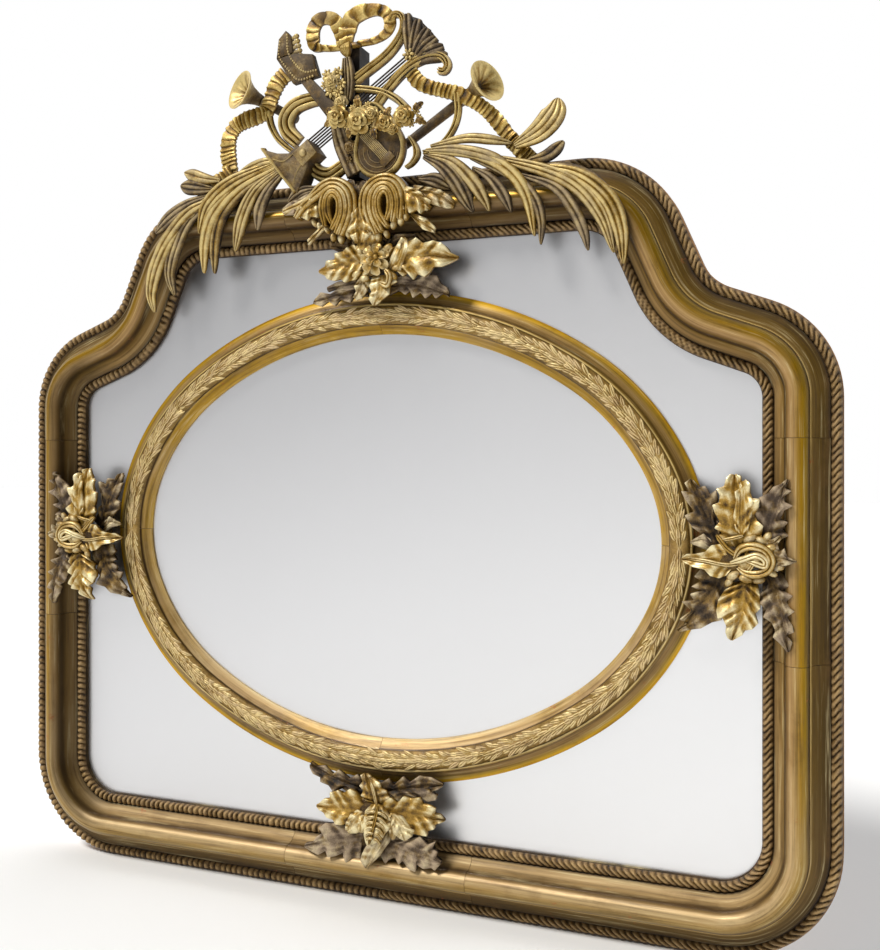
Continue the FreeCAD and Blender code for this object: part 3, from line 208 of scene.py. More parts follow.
class Kit:
    """Collects closed shells, with two values at each point for the finish."""

    def __init__(self, keys=("tone", "gild")):
        self.keys = keys
        self.verts, self.faces, self.firsts, self.seconds, self.count = [], [], [], [], 0

    def add(self, verts, faces, first, second):
        verts = np.asarray(verts, float).reshape(-1, 3)
        self.verts.append(verts)
        self.faces.extend([tuple(i + self.count for i in f) for f in faces])
        for values, new in ((self.firsts, first), (self.seconds, second)):
            values.append(np.broadcast_to(np.asarray(new, float).ravel(), (len(verts),)))
        self.count += len(verts)

    def shell(self, x, z, face, back, tone, gild, under_tone=0.1):
        """A closed body over a grid of places, between the depths of its face and its back."""
        grids = np.broadcast_arrays(x, z, face, back, tone, gild)
        n, m = grids[0].shape
        x, z, face, back, tone, gild = (values.ravel() for values in grids)
        top = np.arange(n * m).reshape(n, m)
        low = top + n * m
        faces = quads(top[:-1, :-1], top[1:, :-1], top[1:, 1:], top[:-1, 1:])
        faces += quads(low[:-1, :-1], low[:-1, 1:], low[1:, 1:], low[1:, :-1])
        for one, two in ((top[:, 0], low[:, 0]), (low[:, -1], top[:, -1]), (low[0], top[0]),
                         (top[-1], low[-1])):
            faces += quads(one[:-1], two[:-1], two[1:], one[1:])
        verts = np.vstack([np.stack([x, z, face], 1), np.stack([x, z, back], 1)])
        self.add(verts, faces, np.r_[tone, np.full(n * m, under_tone)], np.r_[gild, gild])

    def build(self, name, material, slot, nodes=(), body="mirror", sharp=48.0):
        mesh = bpy.data.meshes.new(name)
        v = np.vstack(self.verts) / MM
        points = np.stack([v[:, 0], -v[:, 2], v[:, 1]], 1)
        mesh.from_pydata(points.tolist(), [], self.faces)
        mesh.validate(clean_customdata=False)
        for key, values in zip(self.keys, (self.firsts, self.seconds)):
            layer = mesh.attributes.new(key, "FLOAT", "POINT")
            layer.data.foreach_set("value", np.concatenate(values).astype(np.float32))
        work = bmesh.new()
        work.from_mesh(mesh)
        bmesh.ops.recalc_face_normals(work, faces=work.faces)
        work.to_mesh(mesh)
        work.free()
        mesh.shade_smooth()
        mesh.set_sharp_from_angle(angle=math.radians(sharp))
        mesh.materials.append(material)
        obj = added(name, mesh)
        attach(obj, body)
        if nodes:
            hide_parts(*nodes)


def strip(kit, line, width, relief, section, gild=1.0, columns=13, bed=None):
    """A band along a line, with a relief across it; its back lies flat at the line's depth or at bed."""
    s, t = grid(len(line), columns)
    x, z, d = line.T[..., None]
    across = sides(line)
    half = np.broadcast_to(width, (len(line),))[:, None] / 2
    lift = np.broadcast_to(relief, (len(line),))[:, None]
    h, tone = section(s, t)
    kit.shell(x + across[:, :1] * half * t, z + across[:, 1:] * half * t, d + lift * np.maximum(h, 0.06),
              d if bed is None else bed, tone, gild(s, t) if callable(gild) else gild)


def toothed_leaf(kit, spine, width, relief, cup, gild, tone_shift=0.0):
    """A small leaf with a midrib and three teeth on each side that point towards its tip."""
    s, t = grid(20, 17)
    phase = np.where(s >= 1, 1.0, (s * 3) % 1.0)
    envelope = np.sin(np.pi * np.clip(0.06 + 0.94 * s**0.85, 0, 1)) ** 0.6 * (1 - 0.1 * s) + 0.03
    jag = 1 - 0.3 * (1 - phase) ** 1.1 * np.clip(s * 4, 0, 1)
    reach = np.abs(t)
    lateral = t * (width / 2 * envelope) * (jag * reach + (1 - reach))
    base = smooth(spine, 60)
    run = np.linspace(0, 1, 60)
    along = np.clip(s + 0.1 * reach * (phase - 0.3) * (1 - s) - 0.05 * reach * (1 - s), 0, 1)
    x, z, d = np.moveaxis(columns_at(along, run, base), -1, 0)
    across = columns_at(along, run, sides(base))
    lobe = np.sin(np.pi * np.clip(phase, 0, 1)) ** 0.8
    rib = np.exp(-((t / 0.13) ** 2))
    h = 0.35 + 0.5 * lobe * reach * (1 - 0.3 * reach) + 0.35 * rib
    tone = 0.12 + 0.45 * lobe * reach + 0.3 * rib + 0.35 * np.clip((reach - 0.72) / 0.28, 0, 1) + tone_shift
    kit.shell(x + across[..., 0] * lateral, z + across[..., 1] * lateral,
              d + relief * h * (1 - 0.35 * s) - cup * reach**2, d - cup * reach**2 - 3.5 * (1 - 0.55 * reach),
              np.clip(tone, 0, 1), gild)


def ridges(reach):
    """One at the tips of an edge's teeth and nought in the notches, from how far the edge stands out."""
    n = len(reach)
    wide = max(5, n // 5) | 1
    rest = reach - np.convolve(np.pad(reach, wide // 2, "edge"), np.ones(wide) / wide, "valid")
    marks, values = [0], [0.0]
    for i in range(2, n - 2):
        near = rest[max(0, i - 3):i + 4]
        if rest[i] in (near.max(), near.min()) and i - marks[-1] > 1:
            marks.append(i)
            values.append(1.0 if rest[i] == near.max() else 0.0)
    marks.append(n - 1)
    values.append(0.3)
    return 0.5 - 0.5 * np.cos(np.pi * np.interp(np.arange(n), marks, values))


def drawn_leaf(kit, spine, left, right, heights, relief, cup, thick, gild, shift, fan=1.5, read=CLASP_READ,
               flip=1, veins=0.35, rows=72, rim=0.25):
    """A leaf drawn in the plane at depth read: a midrib and its two edges, each from the root to the tip.

    The heights of its face above the glass are given at even steps along the midrib. Relief is that of its
    folds, and cup how far its edges stand up. A greater fan crowds its rows towards the root. Shift lightens
    the whole leaf and rim its edge."""
    p = np.linspace(0, 1, rows) ** fan
    middle = columns_at(p, np.linspace(0, 1, 80), smooth(spine, 80))
    level = smooth(list(enumerate(heights)), 60)
    depth = np.interp(p * (len(heights) - 1), level[:, 0], level[:, 1]) + GLASS
    a = np.linspace(0, 1, 9)[None, :] ** 0.9
    flute = np.cos(2 * np.pi * 2.5 * a) * (1 - a) * 0.16
    halves = []
    for edge in (right, left):
        out = even(edge, rows) - middle
        bulge = 2 * ridges(np.linalg.norm(out, axis=1))[:, None] - 1
        swell = (0.5 + 0.28 * np.sin(np.pi * a) + veins * bulge * a**0.55 + flute
                 - 0.35 * np.exp(-((a / 0.09) ** 2)))
        tone = (0.46 + 0.25 * bulge * a**0.5 + 1.2 * flute + rim * np.clip((a - 0.7) / 0.3, 0, 1)
                - 0.22 * np.exp(-((a / 0.08) ** 2)))
        halves.append((middle[:, None, :] + out[:, None, :] * a[..., None],
                       depth[:, None] + relief * (swell - 0.5) + cup * a**2 - 1.0 * (a > 0.999),
                       tone - 0.25 * (1 - p[:, None]) ** 3 + shift))
    xz, d, tone = (np.concatenate([one[:, ::-1], other[:, 1:]], 1) for one, other in zip(*halves))
    x, z = sighted(xz[..., 0], xz[..., 1], read, d)
    kit.shell(flip * x, z, d, d - thick, np.clip(tone, 0, 1), gild, 0.0)


def blade(kit, spine, width, flutes, relief, gild, thick, rows, tip, root, broad, tone_shift=0.0, cup=2.0):
    """A long narrow fluted leaf; tip and root are its relative widths there, and it is widest at broad."""
    s, t = grid(rows, flutes * 6 + 1)
    rise = np.sin(np.pi / 2 * np.clip(s / broad, 0, 1))
    fall = np.sin(np.pi / 2 * np.clip((1 - s) / (1 - broad), 0, 1)) ** 0.7
    shape = np.where(s < broad, root + (1 - root) * rise, tip + (1 - tip) * fall)
    ridge = fluting(t, flutes)
    base = smooth(spine, rows)
    x, z, d = base.T[..., None]
    across = sides(base)
    lateral = t * shape * width / 2
    tone = 0.2 + 0.55 * ridge**1.8 + tone_shift + 0.14 * np.cos(7 * s + 4 * t + base[0, 0]) * ridge
    kit.shell(x + across[:, :1] * lateral, z + across[:, 1:] * lateral,
              d + relief * shape**0.5 * (0.45 + 0.55 * ridge) - cup * t**2,
              d - cup * t**2 - thick * (1 - 0.6 * np.abs(t)), np.clip(tone, 0, 1), gild)


def dome(kit, x, z, d, radius, height, gild, tone, rings=6, around=14, squash=1.0, turn=0.0):
    """A low rounded boss that stands on a plane."""
    foot_tone = 0.1
    verts, tones = [], []
    for i in range(rings):
        phi = math.pi / 2 * (1 - i / rings)
        for j in range(around):
            a = 2 * math.pi * j / around
            px, pz = radius * math.sin(phi) * math.cos(a), radius * squash * math.sin(phi) * math.sin(a)
            verts.append((x + px * math.cos(turn) - pz * math.sin(turn),
                          z + px * math.sin(turn) + pz * math.cos(turn), d + height * math.cos(phi)))
            tones.append(foot_tone + (tone - foot_tone) * math.cos(phi) ** 0.6 if i else foot_tone)
    verts.append((x, z, d + height))
    tones.append(min(1.0, tone * 1.1))
    last = (rings - 1) * around
    faces = tube(rings, around, False)
    faces += [(last + j, last + (j + 1) % around, rings * around) for j in range(around)]
    faces.append(tuple(range(around))[::-1])
    kit.add(verts, faces, tones, gild)


def petal_ring(kit, x, z, d, radius, petals, lift, gild, tone, phase, width=1.15, curl=0.5):
    """A ring of cupped petals round a point."""
    s, t = grid(7, 7)
    r = radius * (0.12 + 0.88 * s * (1 - 0.12 * t**2))
    half = (width * math.pi / petals * np.sin(np.pi / 2 * np.minimum(1, s * 1.5 + 0.25))
            * (1 - 0.25 * np.clip((s - 0.75) * 4, 0, 1)))
    face = d + lift * (np.sin(np.pi * np.clip(s * 0.8, 0, 1)) + curl * t**2 * s)
    for k in range(petals):
        angle = phase + 2 * math.pi * k / petals + t * half
        kit.shell(x + r * np.cos(angle), z + r * np.sin(angle), face, face - 1.6,
                  np.clip(tone * (0.35 + 0.65 * s) + 0.2 * t**2, 0, 1), gild)


def rose(kit, x, z, d, radius, gild, tone, turn=0.0):
    """A flower head of three rings of petals round a bud."""
    for up, size, petals, lift, shade, twist in ((0, 1, 6, 0.28, 0.85, 0), (0.22, 0.72, 5, 0.3, 1, 0.5),
                                                 (0.42, 0.45, 4, 0.3, 1.1, 1.1)):
        petal_ring(kit, x, z, d + radius * up, radius * size, petals, radius * lift, gild, tone * shade,
                   turn + twist)
    dome(kit, x, z, d + radius * 0.35, radius * 0.2, radius * 0.42, gild, tone, 4, 8)


def daisy(kit, x, z, d, radius, petals, gild, tone, turn=0.0):
    """A small flat flower of beads round a button."""
    for k in range(petals):
        a = turn + 2 * math.pi * k / petals
        dome(kit, x + radius * 0.6 * math.cos(a), z + radius * 0.6 * math.sin(a), d, radius * 0.42,
             radius * 0.32, gild, tone, 4, 8, 0.6, a)
    dome(kit, x, z, d + radius * 0.05, radius * 0.28, radius * 0.45, gild, tone * 0.8, 4, 8)


def lathe(kit, start, end, profile, around, flutes):
    """A turned piece on the line from start to end, from rows of (distance, radius, tone, gild, fluting)."""
    axis = (end - start) / np.linalg.norm(end - start)
    side = np.cross(axis, (0, 0, 1.0))
    side /= np.linalg.norm(side)
    other = np.cross(axis, side)
    verts, tones, gilds = [], [], []
    for distance, radius, tone, gild, depth in profile:
        for j in range(around):
            angle = 2 * math.pi * j / around
            r = radius * (1 - depth * (0.5 - 0.5 * math.cos(flutes * angle)))
            verts.append(start + axis * distance + r * (math.cos(angle) * side + math.sin(angle) * other))
            tones.append(tone - (0.4 * (0.5 - 0.5 * math.cos(flutes * angle)) if depth else 0))
            gilds.append(gild)
    kit.add(verts, tube(len(profile), around), np.clip(tones, 0, 1), gilds)


def rod(kit, points, radius, gild, tone, around):
    """A round wire or peg between two points."""
    line = smooth(points, 3)
    t = np.gradient(line, axis=0)
    t /= np.linalg.norm(t, axis=1)[:, None]
    side = np.cross(t, (0, 0, 1.0))
    side /= np.maximum(np.linalg.norm(side, axis=1), 1e-6)[:, None]
    other = np.cross(t, side)
    radii = np.broadcast_to(np.asarray(radius, float), (len(line),))[:, None]
    angles = [2 * math.pi * j / around for j in range(around)]
    verts = np.stack([line + radii * (math.cos(a) * side + math.sin(a) * other) for a in angles], 1)
    kit.add(verts, tube(len(line), around), tone, gild)


def board(kit, corners, back, front, gild, tone, bevel):
    """A flat carved piece inside an outline, with its front edge rounded."""
    p = np.asarray(corners, float)
    middle = p.mean(0)
    verts, tones = [], []
    for depth, shade, shrink in ((back, 0.1, 0), (front - bevel, tone * 0.7, 0),
                                 (front - bevel * 0.3, tone * 1.25, bevel * 0.4), (front, tone, bevel)):
        for corner in p:
            inwards = middle - corner
            x, z = corner + inwards / max(np.linalg.norm(inwards), 1e-6) * shrink
            verts.append((x, z, depth))
            tones.append(shade)
    kit.add(verts, tube(4, len(p)), np.clip(tones, 0, 1), gild)


# ---- materials -----------------------------------------------------------------------------
SPECULAR = 0.3


def linear(hexa):
    """A colour as Blender takes it, from its six hex digits."""
    c = [int(hexa[i:i + 2], 16) / 255 for i in (0, 2, 4)]
    return tuple(v / 12.92 if v <= 0.04045 else ((v + 0.055) / 1.055) ** 2.4 for v in c) + (1.0,)


class Nodes:
    """The node tree of a material or world, with short ways to add nodes."""

    def __init__(self, owner, shader):
        owner.use_nodes = True
        self.owner, self.tree = owner, owner.node_tree
        self.shader = self.tree.nodes[shader]

    def feed(self, socket, value):
        """Give a socket a number, a colour or another node's output."""
        if isinstance(value, str):
            socket.default_value = linear(value)
        elif isinstance(value, (int, float, tuple)):
            socket.default_value = value
        else:
            self.tree.links.new(value, socket)

    def new(self, kind, inputs=(), **settings):
        node = self.tree.nodes.new(kind)
        for key, value in settings.items():
            setattr(node, key, value)
        for key, value in dict(inputs).items():
            self.feed(node.inputs[key], value)
        return node

    def set(self, **values):
        """Feed the shader's sockets, whose names have _ for a space here, and give back the owner."""
        for key, value in values.items():
            self.feed(self.shader.inputs[key.replace("_", " ")], value)
        return self.owner

    def attribute(self, key):
        return self.new("ShaderNodeAttribute", attribute_name=key).outputs["Fac"]

    def coords(self, kind="Object"):
        return self.new("ShaderNodeTexCoord").outputs[kind]

    def axes(self, kind="Object"):
        return self.new("ShaderNodeSeparateXYZ", {0: self.coords(kind)}).outputs

    def noise(self, scale, detail=4.0, rough=0.6, stretch=None, distortion=0.0, vector=None):
        if vector is None:
            vector = self.coords()
        if stretch:
            vector = self.new("ShaderNodeMapping", {"Vector": vector, "Scale": stretch}).outputs["Vector"]
        return self.new("ShaderNodeTexNoise", {"Vector": vector, "Scale": scale, "Detail": detail,
                                               "Roughness": rough, "Distortion": distortion}).outputs["Fac"]

    def math(self, operation, a, b, clamp=False):
        return self.new("ShaderNodeMath", {0: a, 1: b}, operation=operation, use_clamp=clamp).outputs[0]

    def span(self, value, low, high, to_low=0.0, to_high=1.0):
        """A value that goes from low to high, made to go from to_low to to_high."""
        return self.new("ShaderNodeMapRange", {"Value": value, "From Min": low, "From Max": high,
                                               "To Min": to_low, "To Max": to_high},
                                               clamp=True).outputs["Result"]

    def ramp(self, value, stops):
        """Colours in hex digits, or shades of grey from 0 to 1, by a value."""
        node = self.new("ShaderNodeValToRGB", {"Fac": value})
        elements = node.color_ramp.elements
        while len(elements) < len(stops):
            elements.new(0.5)
        for element, (position, colour) in zip(elements, stops):
            element.position = position
            element.color = linear(colour) if isinstance(colour, str) else (colour, colour, colour, 1)
        return node.outputs["Color"]

    def mix(self, factor, a, b, blend="MIX"):
        # sockets 0, 6 and 7 of a Mix node are its factor and its colours A and B, and output 2 is its colour
        return self.new("ShaderNodeMix", {0: factor, 6: a, 7: b}, data_type="RGBA",
                        blend_type=blend).outputs[2]

    def bump(self, height, strength, distance, under=None):
        node = self.new("ShaderNodeBump", {"Height": height, "Strength": strength, "Distance": distance})
        if under is not None:
            self.feed(node.inputs["Normal"], under)
        return node.outputs["Normal"]


def finish(name):
    return Nodes(bpy.data.materials.new(name), "Principled BSDF")


def carved(name, dark, mid, light, gold_dark, gold_mid, gold_light, metal, rough=(0.62, 0.36)):
    """Carved wood, painted or gilded by the gilding value, dark in the hollows and rubbed on the ridges."""
    n = finish(name)
    blotch = n.noise(34.0, 5.0, 0.65)
    fine = n.noise(420.0, 3.0, 0.7)
    tone = n.math("ADD", n.attribute("tone"), n.span(blotch, 0.3, 0.7, -0.22, 0.22))
    tone = n.math("ADD", tone, n.span(fine, 0.3, 0.7, -0.09, 0.09), clamp=True)
    paint = n.ramp(tone, [(0.06, dark), (0.45, mid), (0.88, light)])
    gold = n.ramp(tone, [(0.08, gold_dark), (0.42, gold_mid), (0.84, gold_light)])
    worn = n.span(n.noise(60.0, 4.0, 0.7), 0.35, 0.65, -0.3, 0.3)
    gild = n.math("ADD", n.attribute("gild"), worn, clamp=True)
    shine = n.math("MULTIPLY", n.math("MULTIPLY", gild, metal), n.span(tone, 0.1, 0.6, 0.3, 1.0))
    roughness = n.math("ADD", n.span(gild, 0.0, 1.0, *rough), n.span(blotch, 0.3, 0.7, -0.08, 0.1))
    return n.set(Base_Color=n.mix(gild, paint, gold), Metallic=shine, Roughness=roughness,
                 Normal=n.bump(fine, 0.35, 0.0006, n.bump(blotch, 0.3, 0.0015)), Specular_IOR_Level=SPECULAR)


def moulding_finish(name, width, bands, metal, rough, turn=(0.1, 0.34), painted_shade=0.0):
    """Water gilding on a run of moulding: bands across it, streaks and wear along it.

    A band is (distance across, gold, tan). The gold gives way to the tan below the heights in turn. The last
    argument is painted shade: it darkens the inner slopes of the top rail and of the left side as if they lay
    in shadow."""
    n = finish(name)
    across, along = n.attribute("across"), n.attribute("along")
    axes = n.axes()

    def run_noise(scale_across, scale_along, detail=4.0, noise_rough=0.6):
        """Noise in the moulding's own directions."""
        own = n.new("ShaderNodeCombineXYZ", {0: n.math("MULTIPLY", across, scale_across),
                                             1: n.math("MULTIPLY", along, scale_along)}).outputs[0]
        return n.noise(1.0, detail, noise_rough, vector=own)

    def by_place(rows, column=1):
        return n.ramp(place, [(row[0] / width, row[column]) for row in rows])

    streak = run_noise(0.22, 5.0)
    fine = run_noise(0.9, 26.0, 3.0)
    patch = run_noise(0.03, 4.5, 5.0, 0.65)
    blotch = n.noise(16.0, 5.0, 0.65)
    place = n.math("DIVIDE", n.math("ADD", across, n.span(streak, 0.3, 0.7, -0.7, 0.7)), width)
    high = n.math("ADD", n.span(axes["Z"], *turn), n.span(patch, 0.35, 0.65, -0.45, 0.45), clamp=True)
    colour = n.mix(high, by_place(bands, 2), by_place(bands, 1))
    dark = n.math("MULTIPLY", n.span(streak, 0.36, 0.5, 0.55, 0.0), n.span(blotch, 0.3, 0.6, 0.4, 1.0))
    colour = n.mix(dark, colour, "33220F")
    # Pale streaks along the run: partly rubbed gilding, partly painted highlights of the burnished gold.
    light = n.math("MULTIPLY", n.span(streak, 0.54, 0.68), n.span(fine, 0.4, 0.6, 0.1, 0.5))
    colour = n.mix(light, colour, "EBD9A6")
    colour = n.mix(n.span(blotch, 0.52, 0.72, 0.0, 0.4), colour, "6F5228")
    spots = n.math("MULTIPLY", n.span(n.noise(22.0, 5.0, 0.75), 0.64, 0.7), 0.55)
    colour = n.mix(spots, colour, "A9562C")
    if painted_shade:
        # Painted shade: the top rail's slopes under the palms and the inner flank of the left side are
        # darkened as if in shadow.
        top = n.math("MULTIPLY", n.span(axes["Z"], 1.05, 1.13), n.span(across, 48.0, 62.0, 0.0, painted_shade))
        left = n.math("MULTIPLY", n.span(axes["X"], -0.6, -0.54, painted_shade, 0.0), n.span(across, 60.0, 68.0))
        colour = n.mix(left, n.mix(top, colour, "271705"), "3E2E08")
    shine = n.math("MULTIPLY", by_place(metal), n.span(streak, 0.3, 0.55, 0.5, 1.0))
    dull = n.math("ADD", by_place(rough), n.span(fine, 0.3, 0.7, -0.07, 0.1))
    bump = n.bump(streak, 0.2, 0.0005, n.bump(fine, 0.15, 0.0003))
    return n.set(Base_Color=colour, Metallic=shine, Roughness=dull, Specular_IOR_Level=SPECULAR,
                 Normal=n.bump(n.noise(260.0, 3.0, 0.6), 0.15, 0.0004, bump))


def plain_wood():
    n = finish("old_pine")
    grain = n.noise(60.0, 6.0, 0.6, (0.08, 1.0, 1.0), 0.6)
    rings = n.noise(240.0, 3.0, 0.6, (0.03, 1.0, 1.0))
    colour = n.ramp(n.math("ADD", n.math("MULTIPLY", grain, 0.7), n.math("MULTIPLY", rings, 0.3)),
                    [(0.3, "6E4C2B"), (0.5, "9A7146"), (0.72, "B98F5E")])
    return n.set(Base_Color=colour, Roughness=n.span(grain, 0.3, 0.7, 0.6, 0.85),
                 Normal=n.bump(rings, 0.3, 0.0006))


def dull_metal(name, dark, light):
    n = finish(name)
    spots = n.noise(180.0, 5.0, 0.7)
    return n.set(Base_Color=n.ramp(spots, [(0.3, dark), (0.7, light)]), Metallic=0.9,
                 Roughness=n.span(spots, 0.3, 0.7, 0.35, 0.6), Normal=n.bump(spots, 0.2, 0.0004))


def silvered_glass():
    """Old silvering with a soft haze, and a painted reflection that makes it a little paler towards the lower
    right.
    """
    n = finish("silvered_glass")
    haze = n.noise(3.0, 4.0, 0.6)
    axes = n.axes()
    # Painted reflection: the colour goes from darker at the upper left to paler at the lower right.
    slope = n.math("SUBTRACT", n.math("MULTIPLY", axes["X"], 0.5), n.math("MULTIPLY", axes["Z"], 0.6))
    slope = n.math("ADD", slope, n.math("MULTIPLY", haze, 0.12))
    silver = n.ramp(n.span(slope, -0.95, 0.2), [(0.0, "CBCBCD"), (0.5, "DEDEE0"), (1.0, "F0F0F1")])
    return n.set(Base_Color=silver, Metallic=1.0, Roughness=n.span(haze, 0.3, 0.7, 0.32, 0.37))


# Colours of a carved finish: paint in the hollows, between and on the ridges, then gold in the same places.
TAUPE = ("140D07", "54442F", "A08C6C")
WORN_GOLD = ("2A1B06", "8E6A20", "E4CB86")
m_pine = plain_wood()
m_iron = dull_metal("dull_iron", "2B2826", "5A5552")
m_brass = dull_metal("grey_brass", "3A332B", "B0A48C")
m_glass = silvered_glass()
m_leaf = carved("clasp_leaves", "140D07", "564636", "A8947A", "4A320C", "B08A3A", "F6E8B8", 0.4)
m_trophy = carved("trophy_gilding", *TAUPE, *WORN_GOLD, 0.4)
m_ribbon = carved("ribbon_gilding", "1C1308", "6A5028", "B09460", "2A1A04", "8C6818", "E6CC80", 0.42)
m_palm = carved("palm_gilding", *TAUPE, "2E1F0A", "997528", "DFC786", 0.38)
m_rope = carved("rope_gilding", "1A1108", "604A30", "A88C66", "1E1408", "6E542A", "B09260", 0.25,
                (0.62, 0.48))
m_laurel = carved("laurel_gilding", "5A4420", "98794A", "D2B88A", "62491A", "A28240", "E4CE96", 0.35,
                  (0.5, 0.38))
# The bright band at 44.6 across the frame is a painted highlight: a glint along the fillet between the outer
# cove and the torus.
m_frame = moulding_finish(
    "frame_moulding", 114.0,
    [(18, "1A1006", "1A1006"), (20, "42300C", "4A381A"), (28, "57410E", "604A22"), (37, "6C5218", "765C2E"),
     (42.5, "785C22", "80652F"), (44.6, "CDAC66", "C8AA74"), (46, "33230A", "45300F"),
     (47.6, "6A520C", "7C622C"), (52, "94730A", "9A7F48"), (57, "A47B0E", "A0844E"), (61, "9C7829", "A88A56"),
     (66, "A6844E", "BCA070"), (73, "A88554", "C8AC7E"), (77.5, "74551F", "866A3C"), (80, "38260A", "453012"),
     (82.5, "84662E", "9C8052"), (88, "967642", "AE9264"), (94, "8C6E3E", "9C8256"),
     (96.6, "342208", "34240C")],
    [(18, 0.1), (44, 0.25), (45, 0.5), (47, 0.55), (60, 0.6), (70, 0.35), (80, 0.2), (97, 0.15)],
    [(18, 0.65), (40, 0.5), (47, 0.38), (58, 0.32), (70, 0.36), (80, 0.5), (97, 0.55)], painted_shade=0.55)
m_oval = moulding_finish(
    "oval_moulding", 72.0,
    [(0, "B88A10", "C09218"), (3, "C89A18", "D0A224"), (7, "A8842C", "AC8A34"), (12, "A4844C", "9C7E4A"),
     (17, "9A7A42", "A48452"), (20, "5C430F", "6A4E20"), (22, "8C6C2A", "9C7C3C"), (24, "D8BC74", "DCC488"),
     (25.6, "6A4E1C", "6A4E1C"), (27, "8A6C34", "9A7C44"), (42, "9A7C40", "A88A52"), (56, "7A5C20", "7A5C28"),
     (57.2, "3E2A0E", "3E2A0E"), (58.6, "B48C2C", "C8A878"), (63, "A67F1C", "B29466"),
     (68, "B48C28", "C2A676"), (71, "BE983A", "C6AE82")],
    [(0, 0.7), (6, 0.45), (22, 0.4), (27, 0.3), (57, 0.35), (72, 0.3)],
    [(0, 0.32), (8, 0.42), (22, 0.4), (30, 0.5), (58, 0.42), (72, 0.48)], (0.3, 0.8))

FINISHES = {"pine": m_pine, "iron": m_iron, "brass_wire": m_brass, "mirror_glass": m_glass,
            "gilded_moulding": m_frame,
            "bright_oval": m_oval, "aged_rope": m_rope, "laurel": m_laurel, "dark_leaf": m_leaf,
            "bright_leaf": m_leaf,
            "gilded_trophy": m_trophy, "gilded_ribbon": m_ribbon, "gilded_palm": m_palm,
            "dark_trophy": m_trophy}
slots = {part["node"]: part["material_slot"] for part in frame["record"]["subparts"]}
for name, node in frame["nodes"].items():
    node.data.materials.clear()
    node.data.materials.append(FINISHES[slots[name]] if name != "crest_post" else m_trophy)


# ---- mouldings -----------------------------------------------------------------------------
def bend(a, via, b, count=9):
    """Points on the arc from a through via to b, both ends included."""
    (ax, ay), (bx, by), (cx, cy) = a, via, b
    d = 2 * (ax * (by - cy) + bx * (cy - ay) + cx * (ay - by))
    ux = ((ax**2 + ay**2) * (by - cy) + (bx**2 + by**2) * (cy - ay) + (cx**2 + cy**2) * (ay - by)) / d
    uy = ((ax**2 + ay**2) * (cx - bx) + (bx**2 + by**2) * (ax - cx) + (cx**2 + cy**2) * (bx - ax)) / d
    r = math.hypot(ax - ux, ay - uy)
    angles = np.unwrap([math.atan2(y - uy, x - ux) for x, y in (a, via, b)])
    return [(ux + r * math.cos(t), uy + r * math.sin(t)) for t in np.linspace(angles[0], angles[2], count)]


def moulding(name, node, rows, section, along, material, slot):
    """A length of moulding: a closed section of (inward, depth) run along a traced line."""
    n, m = len(rows), len(section)
    kit = Kit(("across", "along"))
    kit.add(np.stack([inset(rows, u, d) for u, d in section], 1), tube(n, m),
            np.broadcast_to([u for u, _ in section], (n, m)), np.broadcast_to(along[:, None], (n, m)))
    kit.build(name, material, slot, (node,), sharp=32)


def stretch(rows, start, end, spacing):
    """The part of a traced line between two distances along it, and the distances of its points."""
    s = np.linspace(start, end, int((end - start) / spacing) + 2)
    return columns_at(s, travel(rows[:, :2]), rows), s


def mirror_rows(rows):
    """A traced line's mirror image, still run with the object on its left."""
    back = rows[::-1].copy()
    back[:, 0] *= -1
    back[:, 2] = -back[:, 2]
    return back


# Half the width of the joints between lengths of moulding, and where the frame's joints are: from the middle
# of the bottom and top rails, and above the floor at the sides.
CRACK = 0.35
MIDDLE_HALF, SIDE_JOINTS = 165.0, (452.2, 782.2)
FRAME_ROWS = frame_trace(1.0)
FRAME_RUN = float(gaps(FRAME_ROWS[:, :2]).sum())
SIDE_START = HALF_BOTTOM + CORNER * math.pi / 2


def frame_moulding():
    """The frame in eight lengths. Each starts at another place in the streaks' noise."""
    section = [(18, 26), (18, 33)] + bend((18, 33), (34.1, 40.5), (44, 58), 10)[1:] + [(44.8, 58.3),
                                                                                       (45.6, 58)]
    section += [(46, 58.6)] + bend((46, 60), (63, 72), (80, 60), 15) + bend((80, 60), (85.8, 41.6),
                                                                            (97, 33))[1:]
    section += [(97, 27), (114, 27), (114, 22), (104.6, 22), (104.6, 26)]
    at_sides = [SIDE_START + height - CORNER for height in SIDE_JOINTS]
    joints = [MIDDLE_HALF, *at_sides, FRAME_RUN - MIDDLE_HALF]
    spacing, offset = 3.0, 0.0
    for part, start, end in zip(("lower", "side", "shoulder"), joints, joints[1:]):
        rows, s = stretch(FRAME_ROWS, start + CRACK, end - CRACK, spacing)
        for name, line, run in ((part + "_right", rows, s), (part + "_left", mirror_rows(rows), s[::-1])):
            offset += 7.3
            moulding("frame_" + name, "moulding_" + name, line, section, run / MM + offset, m_frame,
                     "gilded_moulding")
    for name, start, end in (("bottom", 0.0, joints[0] - CRACK), ("top", joints[-1] + CRACK, FRAME_RUN)):
        rows, s = stretch(FRAME_ROWS, start, end, spacing)
        other = mirror_rows(rows)
        both = np.vstack([other, rows[1:]]) if name == "bottom" else np.vstack([rows, other[1:]])
        if name == "top":
            both[len(rows):, 2] += 2 * math.pi
        offset += 7.3
        moulding("frame_" + name, "moulding_" + name, both, section, travel(both[:, :2]) / MM + offset,
                 m_frame,
                 "gilded_moulding")


